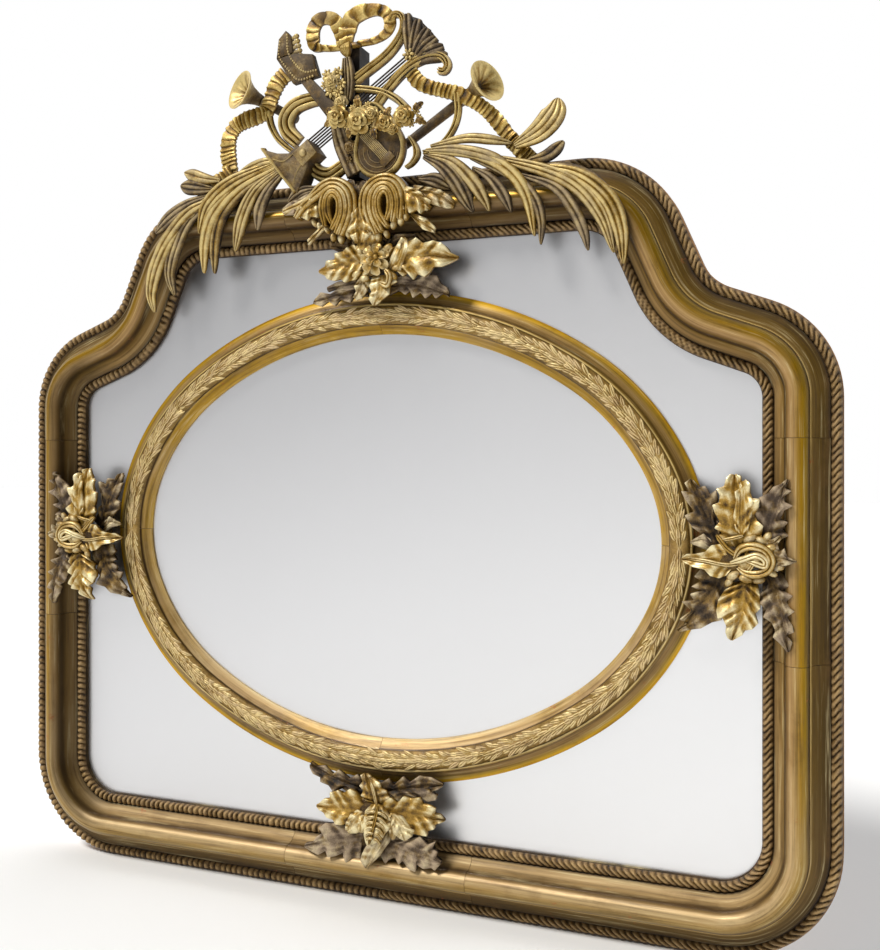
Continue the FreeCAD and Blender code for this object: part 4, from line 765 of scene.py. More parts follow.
def oval_frame():
    """The oval in four quarters."""
    section = [(0, 22), (0, 27)] + bend((0, 27), (13.6, 32.8), (22, 43))[1:] + [(23.5, 43.7), (25, 43.7)]
    section += [(26, 42.8), (26, 42), (57, 42), (57, 40)] + bend((57, 40), (63.5, 31.0), (72, 25),
                                                                 8)[1:] + [(72, 22)]
    rows = oval_trace(1.0)
    quarter, s = stretch(rows, CRACK, float(gaps(rows[:, :2]).sum()) - CRACK, 2.5)
    offset = 60.0
    for upper in (True, False):
        for right in (True, False):
            x, z, heading = quarter.T
            if not upper:
                z, heading = 2 * OVAL_Z - z, math.pi - heading
            if not right:
                x, heading = -x, -heading
            if upper != right:
                x, z, heading = x[::-1], z[::-1], heading[::-1]
            offset += 5.1
            name = ("upper" if upper else "lower") + "_" + ("right" if right else "left")
            moulding("oval_" + name, "oval_moulding_" + name, np.stack([x, z, heading], 1), section,
                     s / MM + offset, m_oval, "bright_oval")


frame_moulding()
oval_frame()


# ---- ropes ---------------------------------------------------------------------------------
def rope(name, inward, width, seat, pitch):
    """A twisted strip round the frame, as two halves that meet in the middle."""
    right = inset(frame_trace(1.7), inward, seat)
    kit = Kit()
    for hand in (1, -1):
        line = right * (hand, 1, 1)
        step = travel(line[:, :2])[:, None]
        swing = rng.normal(0, 0.55, len(line))
        swing = np.convolve(swing, np.ones(9) / 9, "same")[:, None]

        def twisted(s, t):
            turn = step / pitch + 0.42 * t * hand + 0.25 * np.sin(2.2 * t)
            lump = np.abs(np.cos(np.pi * turn + swing)) ** 0.7
            body = np.sqrt(np.clip(1 - 0.92 * t**2, 0, 1))
            return body * (0.5 + 0.5 * lump), 0.12 + 0.68 * lump**1.3 * (0.5 + 0.5 * body)

        strip(kit, line, width, 12.0, twisted, gild=lambda s, t: 0.35 + 0.25 * (1 - t**2))
    kit.build(name + "_beads", m_rope, "aged_rope", (name + "_left", name + "_right"), sharp=70)


rope("outer_rope", 9.6, 16.0, 26.0, 11.6)
rope("sight_rope", 105.4, 15.8, 27.0, 10.6)


# ---- laurel --------------------------------------------------------------------------------
def laurel():
    """Three lanes of overlapping leaves on a rounded bed, in the four quarters of the oval."""
    kit = Kit()
    for sx in (1, -1):
        for sz in (1, -1):
            line = inset(oval_trace(2.0), 41.5, 42.0)
            line[:, 0] *= sx
            line[:, 1] = OVAL_Z + (line[:, 1] - OVAL_Z) * sz
            strip(kit, line, 30.0, 5.0, lambda s, t: (np.sqrt(np.clip(1 - t**2, 0, 1)) * 0.8 + 0.2,
                                                      0.4 + 0.15 * np.cos(3 * t)), gild=0.7, columns=9)
            along = travel(line[:, :2])
            table = np.hstack([line[:, :2], sides(line)])
            total = along[-1]
            count = int(total / 11.0)
            for k in range(count):
                for lane, splay in ((0.0, 0.0), (-8.4, -0.32), (8.4, 0.32)):
                    s0 = (k + (0.5 if lane else 0.0)) * total / count + rng.uniform(-2, 2)
                    length = rng.uniform(19, 30)
                    x0, z0, nx, nz = columns_at(s0, along, table)
                    a = splay + rng.uniform(-0.16, 0.16)
                    ux, uz = nz * math.cos(a) + nx * math.sin(a), -nx * math.cos(a) + nz * math.sin(a)
                    px, pz = x0 + nx * lane * 0.55, z0 + nz * lane * 0.55
                    bed = 44.6 if lane else 46.0
                    spine = [(px, pz, bed),
                             (px + ux * length * 0.5, pz + uz * length * 0.5, bed + 2.0 - abs(lane) * 0.06),
                             (px + ux * length, pz + uz * length, bed - abs(lane) * 0.16)]
                    blade(kit, spine, rng.uniform(6.0, 8.5), 2, 2.0, rng.uniform(0.2, 1.0), 3.0, 9, 0.1, 0.3,
                          0.45,
                          rng.uniform(0.0, 0.25), 1.0)
    kit.build("laurel_leaves", m_laurel, "laurel", ("laurel_band_upper", "laurel_band_lower"), sharp=60)


laurel()


# ---- clasps --------------------------------------------------------------------------------
def reeded(count, low=0.35, tone_low=0.1, tone_high=0.9):
    """A rounded section with reeds along it."""
    def section(s, t):
        reed = fluting(t, count)
        body = np.sqrt(np.clip(1 - 0.85 * t**2, 0, 1))
        return body * (low + (1 - low) * reed), tone_low + (tone_high - tone_low) * reed
    return section


def stem(kit, points, radius, flip=1, read=CLASP_READ, tone=0.85):
    """A raised stem or rim through places drawn at depth read; each place has its own depth."""
    line = smooth(placed(points, read, np.array(points, float)[:, 2], flip), max(14, 8 * len(points)))
    line[:, 2] -= 3.0
    taper = graded(len(line), [0, 0.15, 0.85, 1], [0.5, 1, 1, 0.45])
    strip(kit, line, 3.2 * radius * taper, 3.0 + radius * taper, reeded(2, 0.6, tone - 0.65, tone - 0.2), 1.0,
          9)


def lobes(kit, rows, depth, gild, tone, flip=1, read=CLASP_READ):
    """Small rounded lobes: (x, z, radius, squash, turn)."""
    for x, z, r, squash, turn in rows:
        px, pz = sighted(x, z, read, depth)
        dome(kit, flip * px, pz, depth, r, r * 0.75, gild, tone, 5, 10, squash, flip * turn)


def hub(kit, x, z, flip=1):
    """The turned core of a clasp, from the glass to the leaves, and the boss on it."""
    profile = [(18, 22), (18, 60), (21, 66), (20, 76), (12, 79)]
    around = 24
    angles = np.linspace(0, 2 * math.pi, around, endpoint=False)
    verts = [(flip * x + r * math.cos(a), z + r * math.sin(a), d) for r, d in profile for a in angles]
    kit.add(verts, tube(len(profile), around), 0.15, 0.5)


def build_clasp(name, gold, dark):
    gold.build("clasp_" + name + "_bright", m_leaf, "bright_leaf", ("clasp_" + name + "_gilding",), sharp=60)
    dark.build("clasp_" + name + "_dark", m_leaf, "dark_leaf", ("clasp_" + name + "_foliage",), sharp=60)


def side_clasp(name, flip):
    gold, dark = Kit(), Kit()
    f = {"flip": flip}
    hub(dark, 583.35, 605.2, **f)
    # bright leaves up and down the gap, and the tongue towards the oval
    drawn_leaf(gold, [(600, 612), (593, 660), (588, 728)],
               [(588, 612), (575, 628), (563, 637), (570, 644), (559, 650), (567, 660), (560, 672),
                (556, 684), (566, 688), (567, 698), (562, 708), (573, 712), (576, 724), (582, 730),
                (587, 729)],
               [(612, 620), (625, 638), (628, 655), (620, 662), (616, 670), (622, 682), (623, 694),
                (613, 695), (610, 703), (610, 716), (604, 722), (598, 719), (597, 727), (589, 730)],
               (50, 53, 54, 42), 8, 4, 7, 1.0, 0.0, 1.3, **f)
    drawn_leaf(gold, [(598, 640), (597, 680), (600, 716)],
               [(590, 645), (586, 668), (590, 690), (588, 704), (594, 708), (596, 718)],
               [(606, 645), (612, 670), (615, 690), (608, 700), (607, 712), (600, 718)], (56, 60, 52), 5, 1,
               6, 0.95, 0.12, **f)
    drawn_leaf(gold, [(603, 574), (598, 530), (584, 488)],
               [(620, 574), (623, 556), (624, 536), (617, 528), (621, 514), (613, 505), (603, 503),
                (599, 496), (590, 490), (585, 487)],
               [(586, 572), (574, 560), (565, 546), (562, 530), (564, 518), (571, 519), (576, 508),
                (575, 498), (578, 490), (583, 487)],
               (50, 54, 52, 38), 8, 3, 7, 1.0, 0.1, 1.9, veins=0.45, **f)
    drawn_leaf(gold, [(592, 603), (556, 602), (512, 603)],
               [(584, 592), (577, 582), (566, 577), (553, 580), (545, 589), (528, 592), (518, 597),
                (511, 602)],
               [(588, 612), (578, 618), (568, 627), (555, 625), (546, 615), (530, 611), (519, 611),
                (511, 604)],
               (52, 56, 52, 42), 5, 6, 6, 1.0, 0.05, 1.5, veins=0.15, **f)
    stem(gold, [(600, 600, 80), (575, 597, 82), (545, 602, 80), (522, 604, 70)], 2.0, **f)
    stem(gold, [(592, 610, 80), (576, 622, 84), (562, 640, 80)], 2.4, tone=0.7, **f)
    stem(gold, [(600, 640, 80), (585, 636, 83), (568, 632, 79)], 2.0, **f)
    # folded bud
    stem(gold, [(588, 606, 80), (596, 620, 84), (612, 625, 86), (630, 620, 86), (639, 606, 86),
                (634, 592, 85), (620, 585, 84), (604, 586, 82), (592, 594, 80)], 4.2, tone=0.8, **f)
    stem(gold, [(582, 600, 82), (600, 606, 88), (618, 612, 90), (630, 606, 90), (630, 597, 88),
                (618, 600, 88), (604, 604, 87)], 3.0,
         tone=1.0, **f)
    stem(gold, [(597, 592, 82), (604, 603, 84), (606, 618, 83)], 2.2, tone=0.7, **f)
    stem(gold, [(606, 588, 82), (613, 598, 86), (617, 612, 84)], 2.2, tone=0.8, **f)
    lobes(gold, [(618, 606, 13, 0.8, 0.3), (604, 600, 12, 0.8, 0.0)], 78, 0.9, 0.55, **f)
    lobes(gold, [(610, 636, 11, 0.6, 0.5), (626, 634, 10, 0.6, -0.4), (638, 624, 11, 0.6, 0.2),
                 (634, 640, 8, 0.7, 0.9), (586, 582, 11, 0.6, 0.6), (604, 578, 11, 0.6, -0.2),
                 (622, 577, 10, 0.6, 0.2), (580, 572, 8, 0.7, 0.9), (640, 588, 9, 0.6, -0.5),
                 (650, 596, 8, 0.6, 0.1)], 76, 0.75, 0.62, **f)
    drawn_leaf(gold, [(636, 606), (655, 608), (674, 605)],
               [(636, 594), (648, 590), (652, 597), (662, 600), (672, 604)],
               [(638, 618), (644, 626), (652, 620), (657, 624), (661, 612), (672, 607)], (54, 60, 55), 5, 1,
               6, 0.3, 0.2, **f)
    drawn_leaf(gold, [(628, 618), (642, 630), (652, 640)], [(636, 614), (650, 622), (648, 630), (654, 638)],
               [(622, 626), (630, 640), (640, 636), (650, 642)], (52, 58, 54), 4, 1, 5, 0.25, 0.15, **f)
    # dark leaves over the frame
    drawn_leaf(dark, [(626, 624), (642, 672), (662, 722)],
               [(616, 632), (618, 655), (616, 676), (624, 684), (622, 696), (634, 702), (642, 712),
                (652, 716), (660, 723)],
               [(640, 624), (652, 636), (663, 642), (655, 652), (662, 661), (652, 666), (657, 678),
                (669, 685), (658, 690), (656, 698), (667, 706), (659, 710), (664, 722)],
               (36, 50, 55, 52), 8, 1, 7, 0.03, 0.1, 1.2, veins=0.5, **f)
    drawn_leaf(dark, [(634, 590), (650, 545), (663, 476)],
               [(650, 592), (660, 584), (666, 570), (656, 564), (669, 556), (660, 548), (665, 538),
                (671, 534), (661, 526), (668, 514), (670, 504), (660, 500), (668, 490), (664, 476)],
               [(622, 580), (632, 566), (622, 556), (624, 542), (632, 534), (628, 524), (640, 516),
                (645, 505), (641, 496), (652, 486), (661, 476)],
               (36, 50, 55, 52), 8, 1, 7, 0.08, 0.12, 1.2, veins=0.5, **f)
    # dark leaves over the oval
    drawn_leaf(dark, [(572, 622), (550, 668), (526, 720)],
               [(584, 634), (572, 648), (562, 664), (556, 684), (565, 690), (562, 706), (553, 700),
                (546, 712), (538, 710), (528, 721)],
               [(560, 616), (546, 628), (540, 642), (528, 650), (516, 668), (530, 674), (518, 690),
                (511, 704), (523, 703), (516, 716), (524, 722)],
               (34, 40, 40, 30), 7, 4, 7, 0.2, -0.12, 1.2, veins=0.4, rim=0.4, **f)
    drawn_leaf(dark, [(558, 622), (542, 632), (524, 628)], [(560, 614), (542, 620), (526, 626)],
               [(556, 632), (544, 642), (526, 631)],
               (38, 40, 34), 4, 1, 5, 0.4, 0.3, rows=24, **f)
    drawn_leaf(dark, [(574, 588), (548, 545), (506, 497)],
               [(558, 594), (540, 590), (530, 578), (540, 572), (526, 563), (540, 558), (524, 552),
                (530, 543), (512, 540), (526, 528), (509, 514), (520, 508), (505, 499)],
               [(590, 580), (582, 562), (572, 548), (566, 532), (570, 516), (556, 512), (540, 502),
                (524, 499), (508, 495)],
               (34, 40, 38, 29), 7, 3, 7, 0.25, -0.08, 1.2, veins=0.4, rim=0.4, **f)
    build_clasp(name, gold, dark)


def bottom_clasp():
    gold, dark = Kit(), Kit()
    hub(dark, 0, 157.6)
    drawn_leaf(gold, [(8, 168), (-44, 162), (-97, 163)],
               [(14, 146), (-10, 142), (-28, 150), (-36, 142), (-50, 136), (-62, 136), (-66, 143), (-78, 145),
                (-84, 153), (-92, 156), (-97, 161)],
               [(10, 190), (-12, 186), (-24, 195), (-36, 198), (-46, 190), (-58, 193), (-72, 188), (-72, 178),
                (-84, 176), (-90, 170), (-97, 165)],
               (50, 53, 50, 34), 7, 3, 7, 1.0, 0.0, 1.5, veins=0.4)
    drawn_leaf(gold, [(20, 168), (78, 170), (135, 168)],
               [(16, 190), (40, 192), (52, 186), (62, 197), (78, 196), (92, 199), (97, 190), (110, 188),
                (119, 184), (118, 177), (127, 176), (134, 170)],
               [(18, 146), (60, 150), (76, 140), (92, 138), (104, 138), (106, 147), (117, 151), (120, 159),
                (128, 162), (135, 166)],
               (50, 53, 50, 34), 7, 3, 7, 1.0, 0.0, 1.5, veins=0.4)
    # ribbed leaf at the middle and the one under it
    drawn_leaf(gold, [(18, 180), (10, 150), (0, 107)],
               [(34, 172), (40, 158), (38, 142), (30, 132), (24, 122), (12, 113), (2, 107)],
               [(4, 178), (-6, 166), (-9, 152), (-7, 140), (-9, 126), (-6, 114), (-2, 107)], (58, 64, 64, 56),
               6, -2, 7, 0.85, 0.2, 1.3)
    for k in range(6):
        z = 166 - 9 * k
        stem(gold, [(12 - k, z, 91), (2 - k * 0.6, z - 1, 91), (-6 + 0.3 * k, z - 5, 88)], 1.5, tone=1.0)
        stem(gold, [(15 - k, z, 91), (26 - k * 2, z - 3, 90), (34 - 2.6 * k, z - 9, 87)], 1.5, tone=0.9)
    stem(gold, [(17, 176, 90), (11, 150, 92), (0, 112, 86)], 2.0, tone=0.6)
    drawn_leaf(gold, [(32, 140), (14, 104), (-5, 70)],
               [(42, 136), (38, 120), (28, 106), (20, 94), (8, 82), (0, 70)],
               [(22, 140), (10, 122), (-4, 108), (-12, 94), (-15, 82), (-8, 72)], (50, 58, 58, 54), 5, -3, 7,
               0.45, 0.25, 1.2)
    drawn_leaf(gold, [(40, 168), (56, 150), (66, 126)],
               [(58, 168), (72, 154), (82, 144), (78, 134), (68, 126)],
               [(34, 160), (40, 146), (46, 134), (56, 128), (64, 125)], (56, 60, 52), 6, -2, 6, 0.75, 0.3,
               1.2, veins=0.5)
    drawn_leaf(gold, [(38, 164), (42, 146), (44, 124)], [(48, 160), (52, 142), (48, 126)],
               [(30, 160), (36, 142), (38, 128)],
               (56, 60, 54), 5, -1, 5, 0.6, 0.2, 1.2)
    drawn_leaf(gold, [(-6, 164), (-26, 146), (-40, 128)],
               [(2, 150), (-8, 134), (-22, 126), (-36, 124)],
               [(-18, 168), (-34, 156), (-42, 142), (-44, 130)], (54, 58, 50), 6, -2, 6, 0.9, 0.25, 1.2,
               veins=0.5)
    drawn_leaf(gold, [(-4, 160), (-12, 146), (-16, 128)], [(4, 156), (-2, 140), (-10, 128)],
               [(-12, 160), (-20, 144), (-20, 130)],
               (55, 60, 52), 5, -1, 5, 0.95, 0.2, 1.2)
    # stem leaf towards the oval
    drawn_leaf(gold, [(16, 178), (6, 200), (-6, 228)],
               [(-2, 180), (-14, 190), (-10, 198), (-17, 206), (-11, 214), (-15, 224), (-8, 228)],
               [(30, 180), (38, 192), (32, 202), (24, 206), (20, 214), (6, 222), (-3, 228)], (50, 54, 52, 42),
               6, 2, 6, 0.7, -0.05, 1.2)
    stem(gold, [(14, 178, 80), (10, 196, 84), (4, 214, 80)], 1.8, tone=0.9)
    # dark leaves over the frame
    drawn_leaf(dark, [(0, 122), (-58, 108), (-120, 93)],
               [(4, 100), (-12, 96), (-14, 86), (-28, 82), (-42, 74), (-47, 84), (-46, 92), (-58, 84),
                (-76, 78), (-80, 89), (-94, 80), (-110, 85), (-120, 91)],
               [(-2, 140), (-30, 132), (-58, 138), (-82, 135), (-93, 126), (-86, 118), (-98, 110),
                (-104, 100), (-119, 96)],
               (36, 50, 54, 52), 6, 0, 8, 0.02, 0.22, 1.2, veins=0.3)
    drawn_leaf(dark, [(26, 124), (74, 110), (128, 99)],
               [(36, 136), (60, 126), (78, 130), (92, 136), (104, 124), (119, 131), (114, 120), (122, 114),
                (120, 106), (129, 101)],
               [(16, 112), (20, 98), (30, 82), (36, 90), (48, 96), (54, 85), (62, 92), (72, 80), (84, 77),
                (86, 90), (98, 84), (112, 88), (118, 84), (128, 96)],
               (36, 50, 54, 52), 6, 0, 8, 0.02, 0.25, 1.2, veins=0.3)
    # dark leaves over the oval
    drawn_leaf(dark, [(-4, 200), (-58, 212), (-108, 232)],
               [(-2, 188), (-24, 194), (-34, 190), (-48, 198), (-66, 190), (-74, 200), (-90, 204), (-90, 212),
                (-104, 216), (-110, 226), (-110, 231)],
               [(-6, 214), (-22, 224), (-36, 216), (-56, 228), (-66, 220), (-82, 232), (-96, 230),
                (-108, 236)],
               (34, 38, 34, 26), 7, 3, 7, 0.12, -0.12, 1.2, veins=0.5, rim=0.4)
    drawn_leaf(dark, [(20, 198), (72, 212), (132, 224)],
               [(18, 212), (36, 224), (46, 214), (62, 230), (74, 222), (90, 234), (112, 234), (132, 226)],
               [(22, 186), (40, 198), (52, 188), (64, 198), (90, 200), (104, 194), (119, 198), (122, 206),
                (110, 210), (124, 216), (132, 222)],
               (34, 38, 34, 26), 7, 3, 7, 0.12, -0.08, 1.2, veins=0.5, rim=0.4)
    build_clasp("bottom", gold, dark)


def top_clasp():
    gold, dark = Kit(), Kit()
    hub(dark, 0, 1073.2)
    f = {"read": TOP_READ}
    drawn_leaf(gold, [(10, 1078), (-36, 1074), (-92, 1065)],
               [(12, 1060), (-8, 1052), (-26, 1047), (-44, 1044), (-50, 1050), (-64, 1048), (-76, 1051),
                (-80, 1057), (-91, 1062)],
               [(8, 1096), (-12, 1092), (-26, 1106), (-40, 1102), (-46, 1096), (-62, 1094), (-62, 1084),
                (-78, 1082), (-80, 1073), (-91, 1068)],
               (52, 56, 54, 38), 8, 3, 7, 0.95, 0.08, 1.6, veins=0.5, **f)
    drawn_leaf(gold, [(28, 1072), (92, 1080), (159, 1072)],
               [(26, 1092), (50, 1098), (60, 1112), (74, 1104), (86, 1110), (98, 1100), (116, 1103),
                (130, 1098), (140, 1090), (146, 1082), (159, 1075)],
               [(34, 1056), (52, 1058), (62, 1048), (72, 1054), (80, 1042), (88, 1050), (100, 1045),
                (110, 1052), (116, 1060), (130, 1060), (144, 1064), (158, 1070)],
               (52, 56, 54, 38), 8, 3, 7, 0.95, 0.08, 1.8, veins=0.5, **f)
    drawn_leaf(gold, [(44, 1060), (56, 1080), (66, 1112)], [(34, 1064), (42, 1082), (52, 1100), (60, 1112)],
               [(58, 1056), (66, 1076), (74, 1096), (70, 1110)], (58, 62, 54), 5, -1, 6, 0.8, 0.1, 1.2, **f)
    # flower at the middle
    x, z = sighted(14, 1078, TOP_READ, 80)
    petal_ring(gold, x, z, 77, 27, 7, 8, 1.0, 0.55, 0.4, 1.0, 0.9)
    petal_ring(gold, x + 3, z + 4, 82, 18, 5, 7, 1.0, 0.6, 0.1, 0.9, 1.0)
    dome(gold, x + 3, z + 4, 85, 5, 6, 0.9, 0.5, 5, 10)
    stem(gold, [(30, 1062, 84), (38, 1050, 88), (34, 1036, 86), (22, 1040, 82)], 3.4, tone=0.9, **f)
    # tongues to the oval and to the cresting
    drawn_leaf(gold, [(26, 1052), (22, 1028), (12, 1004)],
               [(46, 1054), (52, 1040), (40, 1034), (38, 1020), (26, 1012), (14, 1003)],
               [(8, 1050), (2, 1036), (6, 1026), (1, 1014), (8, 1004)], (54, 56, 54, 42), 6, 2, 6, 0.9, 0.15,
               1.2, **f)
    drawn_leaf(gold, [(-4, 1052), (-14, 1034), (-24, 1016)], [(6, 1044), (-2, 1028), (-12, 1016),
                                                              (-22, 1013)],
               [(-16, 1050), (-26, 1036), (-22, 1028), (-28, 1018)], (50, 52, 44), 5, 2, 5, 0.6, 0.15, 1.2,
               **f)
    drawn_leaf(gold, [(4, 1084), (0, 1106), (-2, 1128)], [(-14, 1084), (-24, 1098), (-18, 1110), (-20, 1120),
                                                          (-8, 1127)],
               [(22, 1084), (26, 1098), (20, 1110), (22, 1120), (6, 1127)], (54, 60, 58), 6, -2, 7, 0.9, 0.0,
               1.2, **f)
    lobes(gold, [(-20, 1056, 10, 0.6, 0.5), (-6, 1048, 9, 0.7, 0.0), (44, 1050, 11, 0.6, -0.5),
                 (52, 1062, 9, 0.6, 0.2), (-14, 1094, 9, 0.6, -0.6), (36, 1096, 10, 0.6, 0.6)], 78, 0.9, 0.6,
                 **f)
    # dark leaves over the oval, with a little of those behind the cresting
    drawn_leaf(dark, [(-4, 1034), (-52, 1024), (-102, 1014)],
               [(0, 1018), (-26, 1020), (-34, 1010), (-52, 1016), (-62, 1006), (-74, 1014), (-88, 1006),
                (-102, 1011)],
               [(-8, 1046), (-36, 1032), (-56, 1034), (-70, 1026), (-88, 1030), (-100, 1018)],
               (34, 38, 36, 28), 6, 2, 7, 0.1, 0.05, 1.2, veins=0.5, rim=0.4, **f)
    drawn_leaf(dark, [(-10, 1044), (-44, 1040), (-76, 1034)], [(-10, 1034), (-40, 1030), (-58, 1034),
                                                               (-74, 1030)],
               [(-10, 1052), (-38, 1046), (-56, 1046), (-76, 1038)], (42, 44, 36), 5, 1, 6, 0.05, 0.15, 1.2,
               rows=40, **f)
    drawn_leaf(dark, [(36, 1034), (88, 1034), (142, 1014)],
               [(36, 1048), (66, 1050), (84, 1042), (104, 1050), (122, 1046), (128, 1034), (140, 1026),
                (144, 1016)],
               [(38, 1018), (56, 1026), (66, 1018), (76, 1024), (80, 1012), (94, 1020), (102, 1010),
                (114, 1018), (120, 1009), (132, 1016), (143, 1010)],
               (34, 38, 36, 28), 6, 2, 7, 0.05, 0.15, 1.2, veins=0.5, rim=0.35, **f)
    drawn_leaf(dark, [(-16, 1090), (-44, 1102), (-68, 1106)], [(-12, 1082), (-44, 1090), (-68, 1102)],
               [(-14, 1100), (-40, 1112), (-66, 1110)], (36, 46, 48), 5, 1, 6, 0.3, -0.1, rows=30, **f)
    drawn_leaf(dark, [(26, 1090), (56, 1106), (86, 1112)], [(30, 1080), (58, 1094), (86, 1108)],
               [(22, 1100), (50, 1118), (84, 1116)], (36, 46, 48), 5, 1, 6, 0.2, -0.15, rows=30, **f)
    build_clasp("top", gold, dark)


side_clasp("right", 1)
side_clasp("left", -1)
bottom_clasp()
top_clasp()


# ---- cresting ------------------------------------------------------------------------------
def pleated(folds):
    """A ribbon with uneven pleats across it, each lapping over the next."""
    def section(s, t):
        drift = folds * s + 0.4 * np.sin(5 * s * folds / 6) + 0.1 * np.sin(2.5 * t + 7 * s) + 0.06 * t
        saw = drift % 1.0
        lap = saw**0.7 * (1 - np.clip((saw - 0.82) / 0.18, 0, 1) ** 1.5)
        big = 0.5 + 0.5 * np.cos(0.63 * np.pi * drift)
        tone = 0.06 + 0.6 * lap + 0.16 * big + 0.2 * np.abs(t) ** 3
        return 0.5 + 0.3 * lap + 0.15 * big - 0.1 * t**2, tone
    return section


def ruffled(width, folds, count):
    """The width of a pleated ribbon at even steps along it."""
    s = np.linspace(0, 1, count)
    return width * (1 + 0.06 * np.sin(2 * np.pi * folds * s) + 0.05 * np.sin(5.3 * np.pi * s))


def crest_line(points, depth, count):
    """A smooth line at one depth through places of the cresting."""
    return smooth(placed(points, CREST_READ, depth), count)


def crest_board(kit, outline, sight, back, front, gild, tone, bevel):
    """A board of the cresting, whose outline is seen at depth sight."""
    board(kit, at_height(outline, CREST_READ, sight), back, front, gild, tone, bevel)


def lyre():
    kit = Kit()
    upper = [(-136, 1290), (-158, 1312), (-160, 1335), (-142, 1354), (-112, 1361), (-78, 1362), (-45, 1374),
             (-10, 1394),
             (30, 1418), (54, 1444), (60, 1465), (54, 1480), (42, 1482), (36, 1472)]
    lower = [(-118, 1266), (-104, 1240), (-80, 1230), (-56, 1240), (-36, 1256), (-14, 1290), (6, 1330),
             (38, 1368), (70, 1394),
             (100, 1404), (126, 1402), (137, 1388), (132, 1378), (122, 1380)]
    strip(kit, crest_line(upper, CREST_BED, 120), graded(120, [0, 0.15, 0.45, 0.8, 1], [26, 34, 20, 17, 9]),
          16, reeded(3), 0.85)
    strip(kit, crest_line(lower, CREST_BED, 120), graded(120, [0, 0.15, 0.4, 0.8, 1], [24, 28, 15, 18, 12]),
          16, reeded(3), 0.9)
    strip(kit, crest_line([(-26, 1369), (0, 1364), (26, 1356), (48, 1342), (66, 1324)], 52, 40), 13, 15,
          reeded(2), 0.8)
    outline = [(-209, 1287), (-192, 1262), (-143, 1205), (-130, 1232), (-118, 1262), (-142, 1288),
               (-160, 1276), (-182, 1278)]
    crest_board(kit, outline, 84, CREST_BED, 86, 0.15, 0.5, 4)
    rim = crest_line([(-207, 1286), (-176, 1246), (-143, 1206)], 78, 24)
    strip(kit, rim, 8, 12, reeded(1), 0.85, 7)
    for points in ([(-134, 1282), (-164, 1262), (-186, 1266)], [(-124, 1262), (-140, 1240), (-146, 1222)]):
        strip(kit, crest_line(points, 80, 20), 4, 8, reeded(1), 0.4, 5)
    block = [(-122, 1296), (-104, 1272), (-132, 1250), (-152, 1274)]
    crest_board(kit, block, 86, CREST_BED, 89, 0.3, 0.6, 3)
    dome(kit, *sighted(-131, 1273, CREST_READ, 88), 88, 7.5, 6, 0.4, 0.8)
    kit.build("lyre_carving", m_trophy, "gilded_trophy", ("lyre_frame",), sharp=75)


def wires():
    kit = Kit()
    start, end = np.array([-122.0, 1284.0]), np.array([66.0, 1408.0])
    along = (end - start) / np.linalg.norm(end - start)
    across = np.array([-along[1], along[0]])
    for k in range(6):
        shift = across * 5.0 * (k - 2.5)
        rod(kit, [(*(start + shift), 57.5), (*(end + shift), 57.5)], 1.5, 0.0, 0.12, 8)
    kit.build("lyre_wires", m_trophy, "brass_wire", ("lyre_strings",))


def fan_plume():
    kit = Kit()
    front = 62
    root = np.array(sighted(66, 1402, CREST_READ, front))
    for k, (x, z) in enumerate(((60, 1486), (80, 1474), (97, 1457), (112, 1440), (124, 1424), (131, 1408))):
        tip = np.array(sighted(x, z, CREST_READ, front))
        middle = (root * 0.5 + tip * 0.5) + (2, 2)
        spine = [(*root, 54), (*middle, front - 0.6 * k), (*tip, 54)]
        blade(kit, spine, 21, 2, 6, 0.06 + 0.08 * (k % 2), 5, 20, 0.5, 0.3, 0.75, -0.1)
    back = [(64, 1404), (60, 1482), (84, 1472), (108, 1446), (128, 1412), (100, 1404)]
    crest_board(kit, back, 54, CREST_BED, 57, 0.0, 0.2, 2)
    kit.build("plume_fan", m_trophy, "dark_trophy", ("lyre_plume",), sharp=75)


def bow():
    kit = Kit()
    left = [(-52, 1444), (-58, 1470), (-70, 1491), (-94, 1496), (-107, 1484), (-109, 1464), (-104, 1450),
            (-80, 1444), (-54, 1442)]
    right = [(-46, 1444), (-44, 1470), (-32, 1490), (-4, 1497), (22, 1492), (34, 1476), (30, 1458),
             (10, 1446), (-20, 1444), (-44, 1442)]
    w_left = graded(130, [0, 0.2, 0.36, 0.5, 0.66, 0.8, 1], [20, 25, 21, 24, 23, 10, 9])
    w_right = graded(140, [0, 0.12, 0.28, 0.42, 0.6, 0.75, 1], [20, 32, 27, 19, 20, 10, 9])
    # the left loop's gilding is worn off near its top
    strip(kit, crest_line(left, CREST_BED, 130), w_left, 11, pleated(11),
          lambda s, t: 0.95 - 0.75 * np.exp(-((s - 0.4) / 0.12) ** 2))
    strip(kit, crest_line(right, CREST_BED + 1, 140), w_right, 11, pleated(12), 0.85)
    x, z = sighted(-50, 1441, CREST_READ, 66)
    for k in range(5):
        a = -0.9 + 0.45 * k
        blade(kit, [(x, z - 13, 56), (x + 9 * math.sin(a), z, 66), (x + 2, z + 14, 56)], 8, 1, 5, 0.8, 4, 12,
              0.4, 0.4, 0.5)
    kit.build("bow_ribbon", m_ribbon, "gilded_ribbon", ("ribbon_bow",), sharp=75)


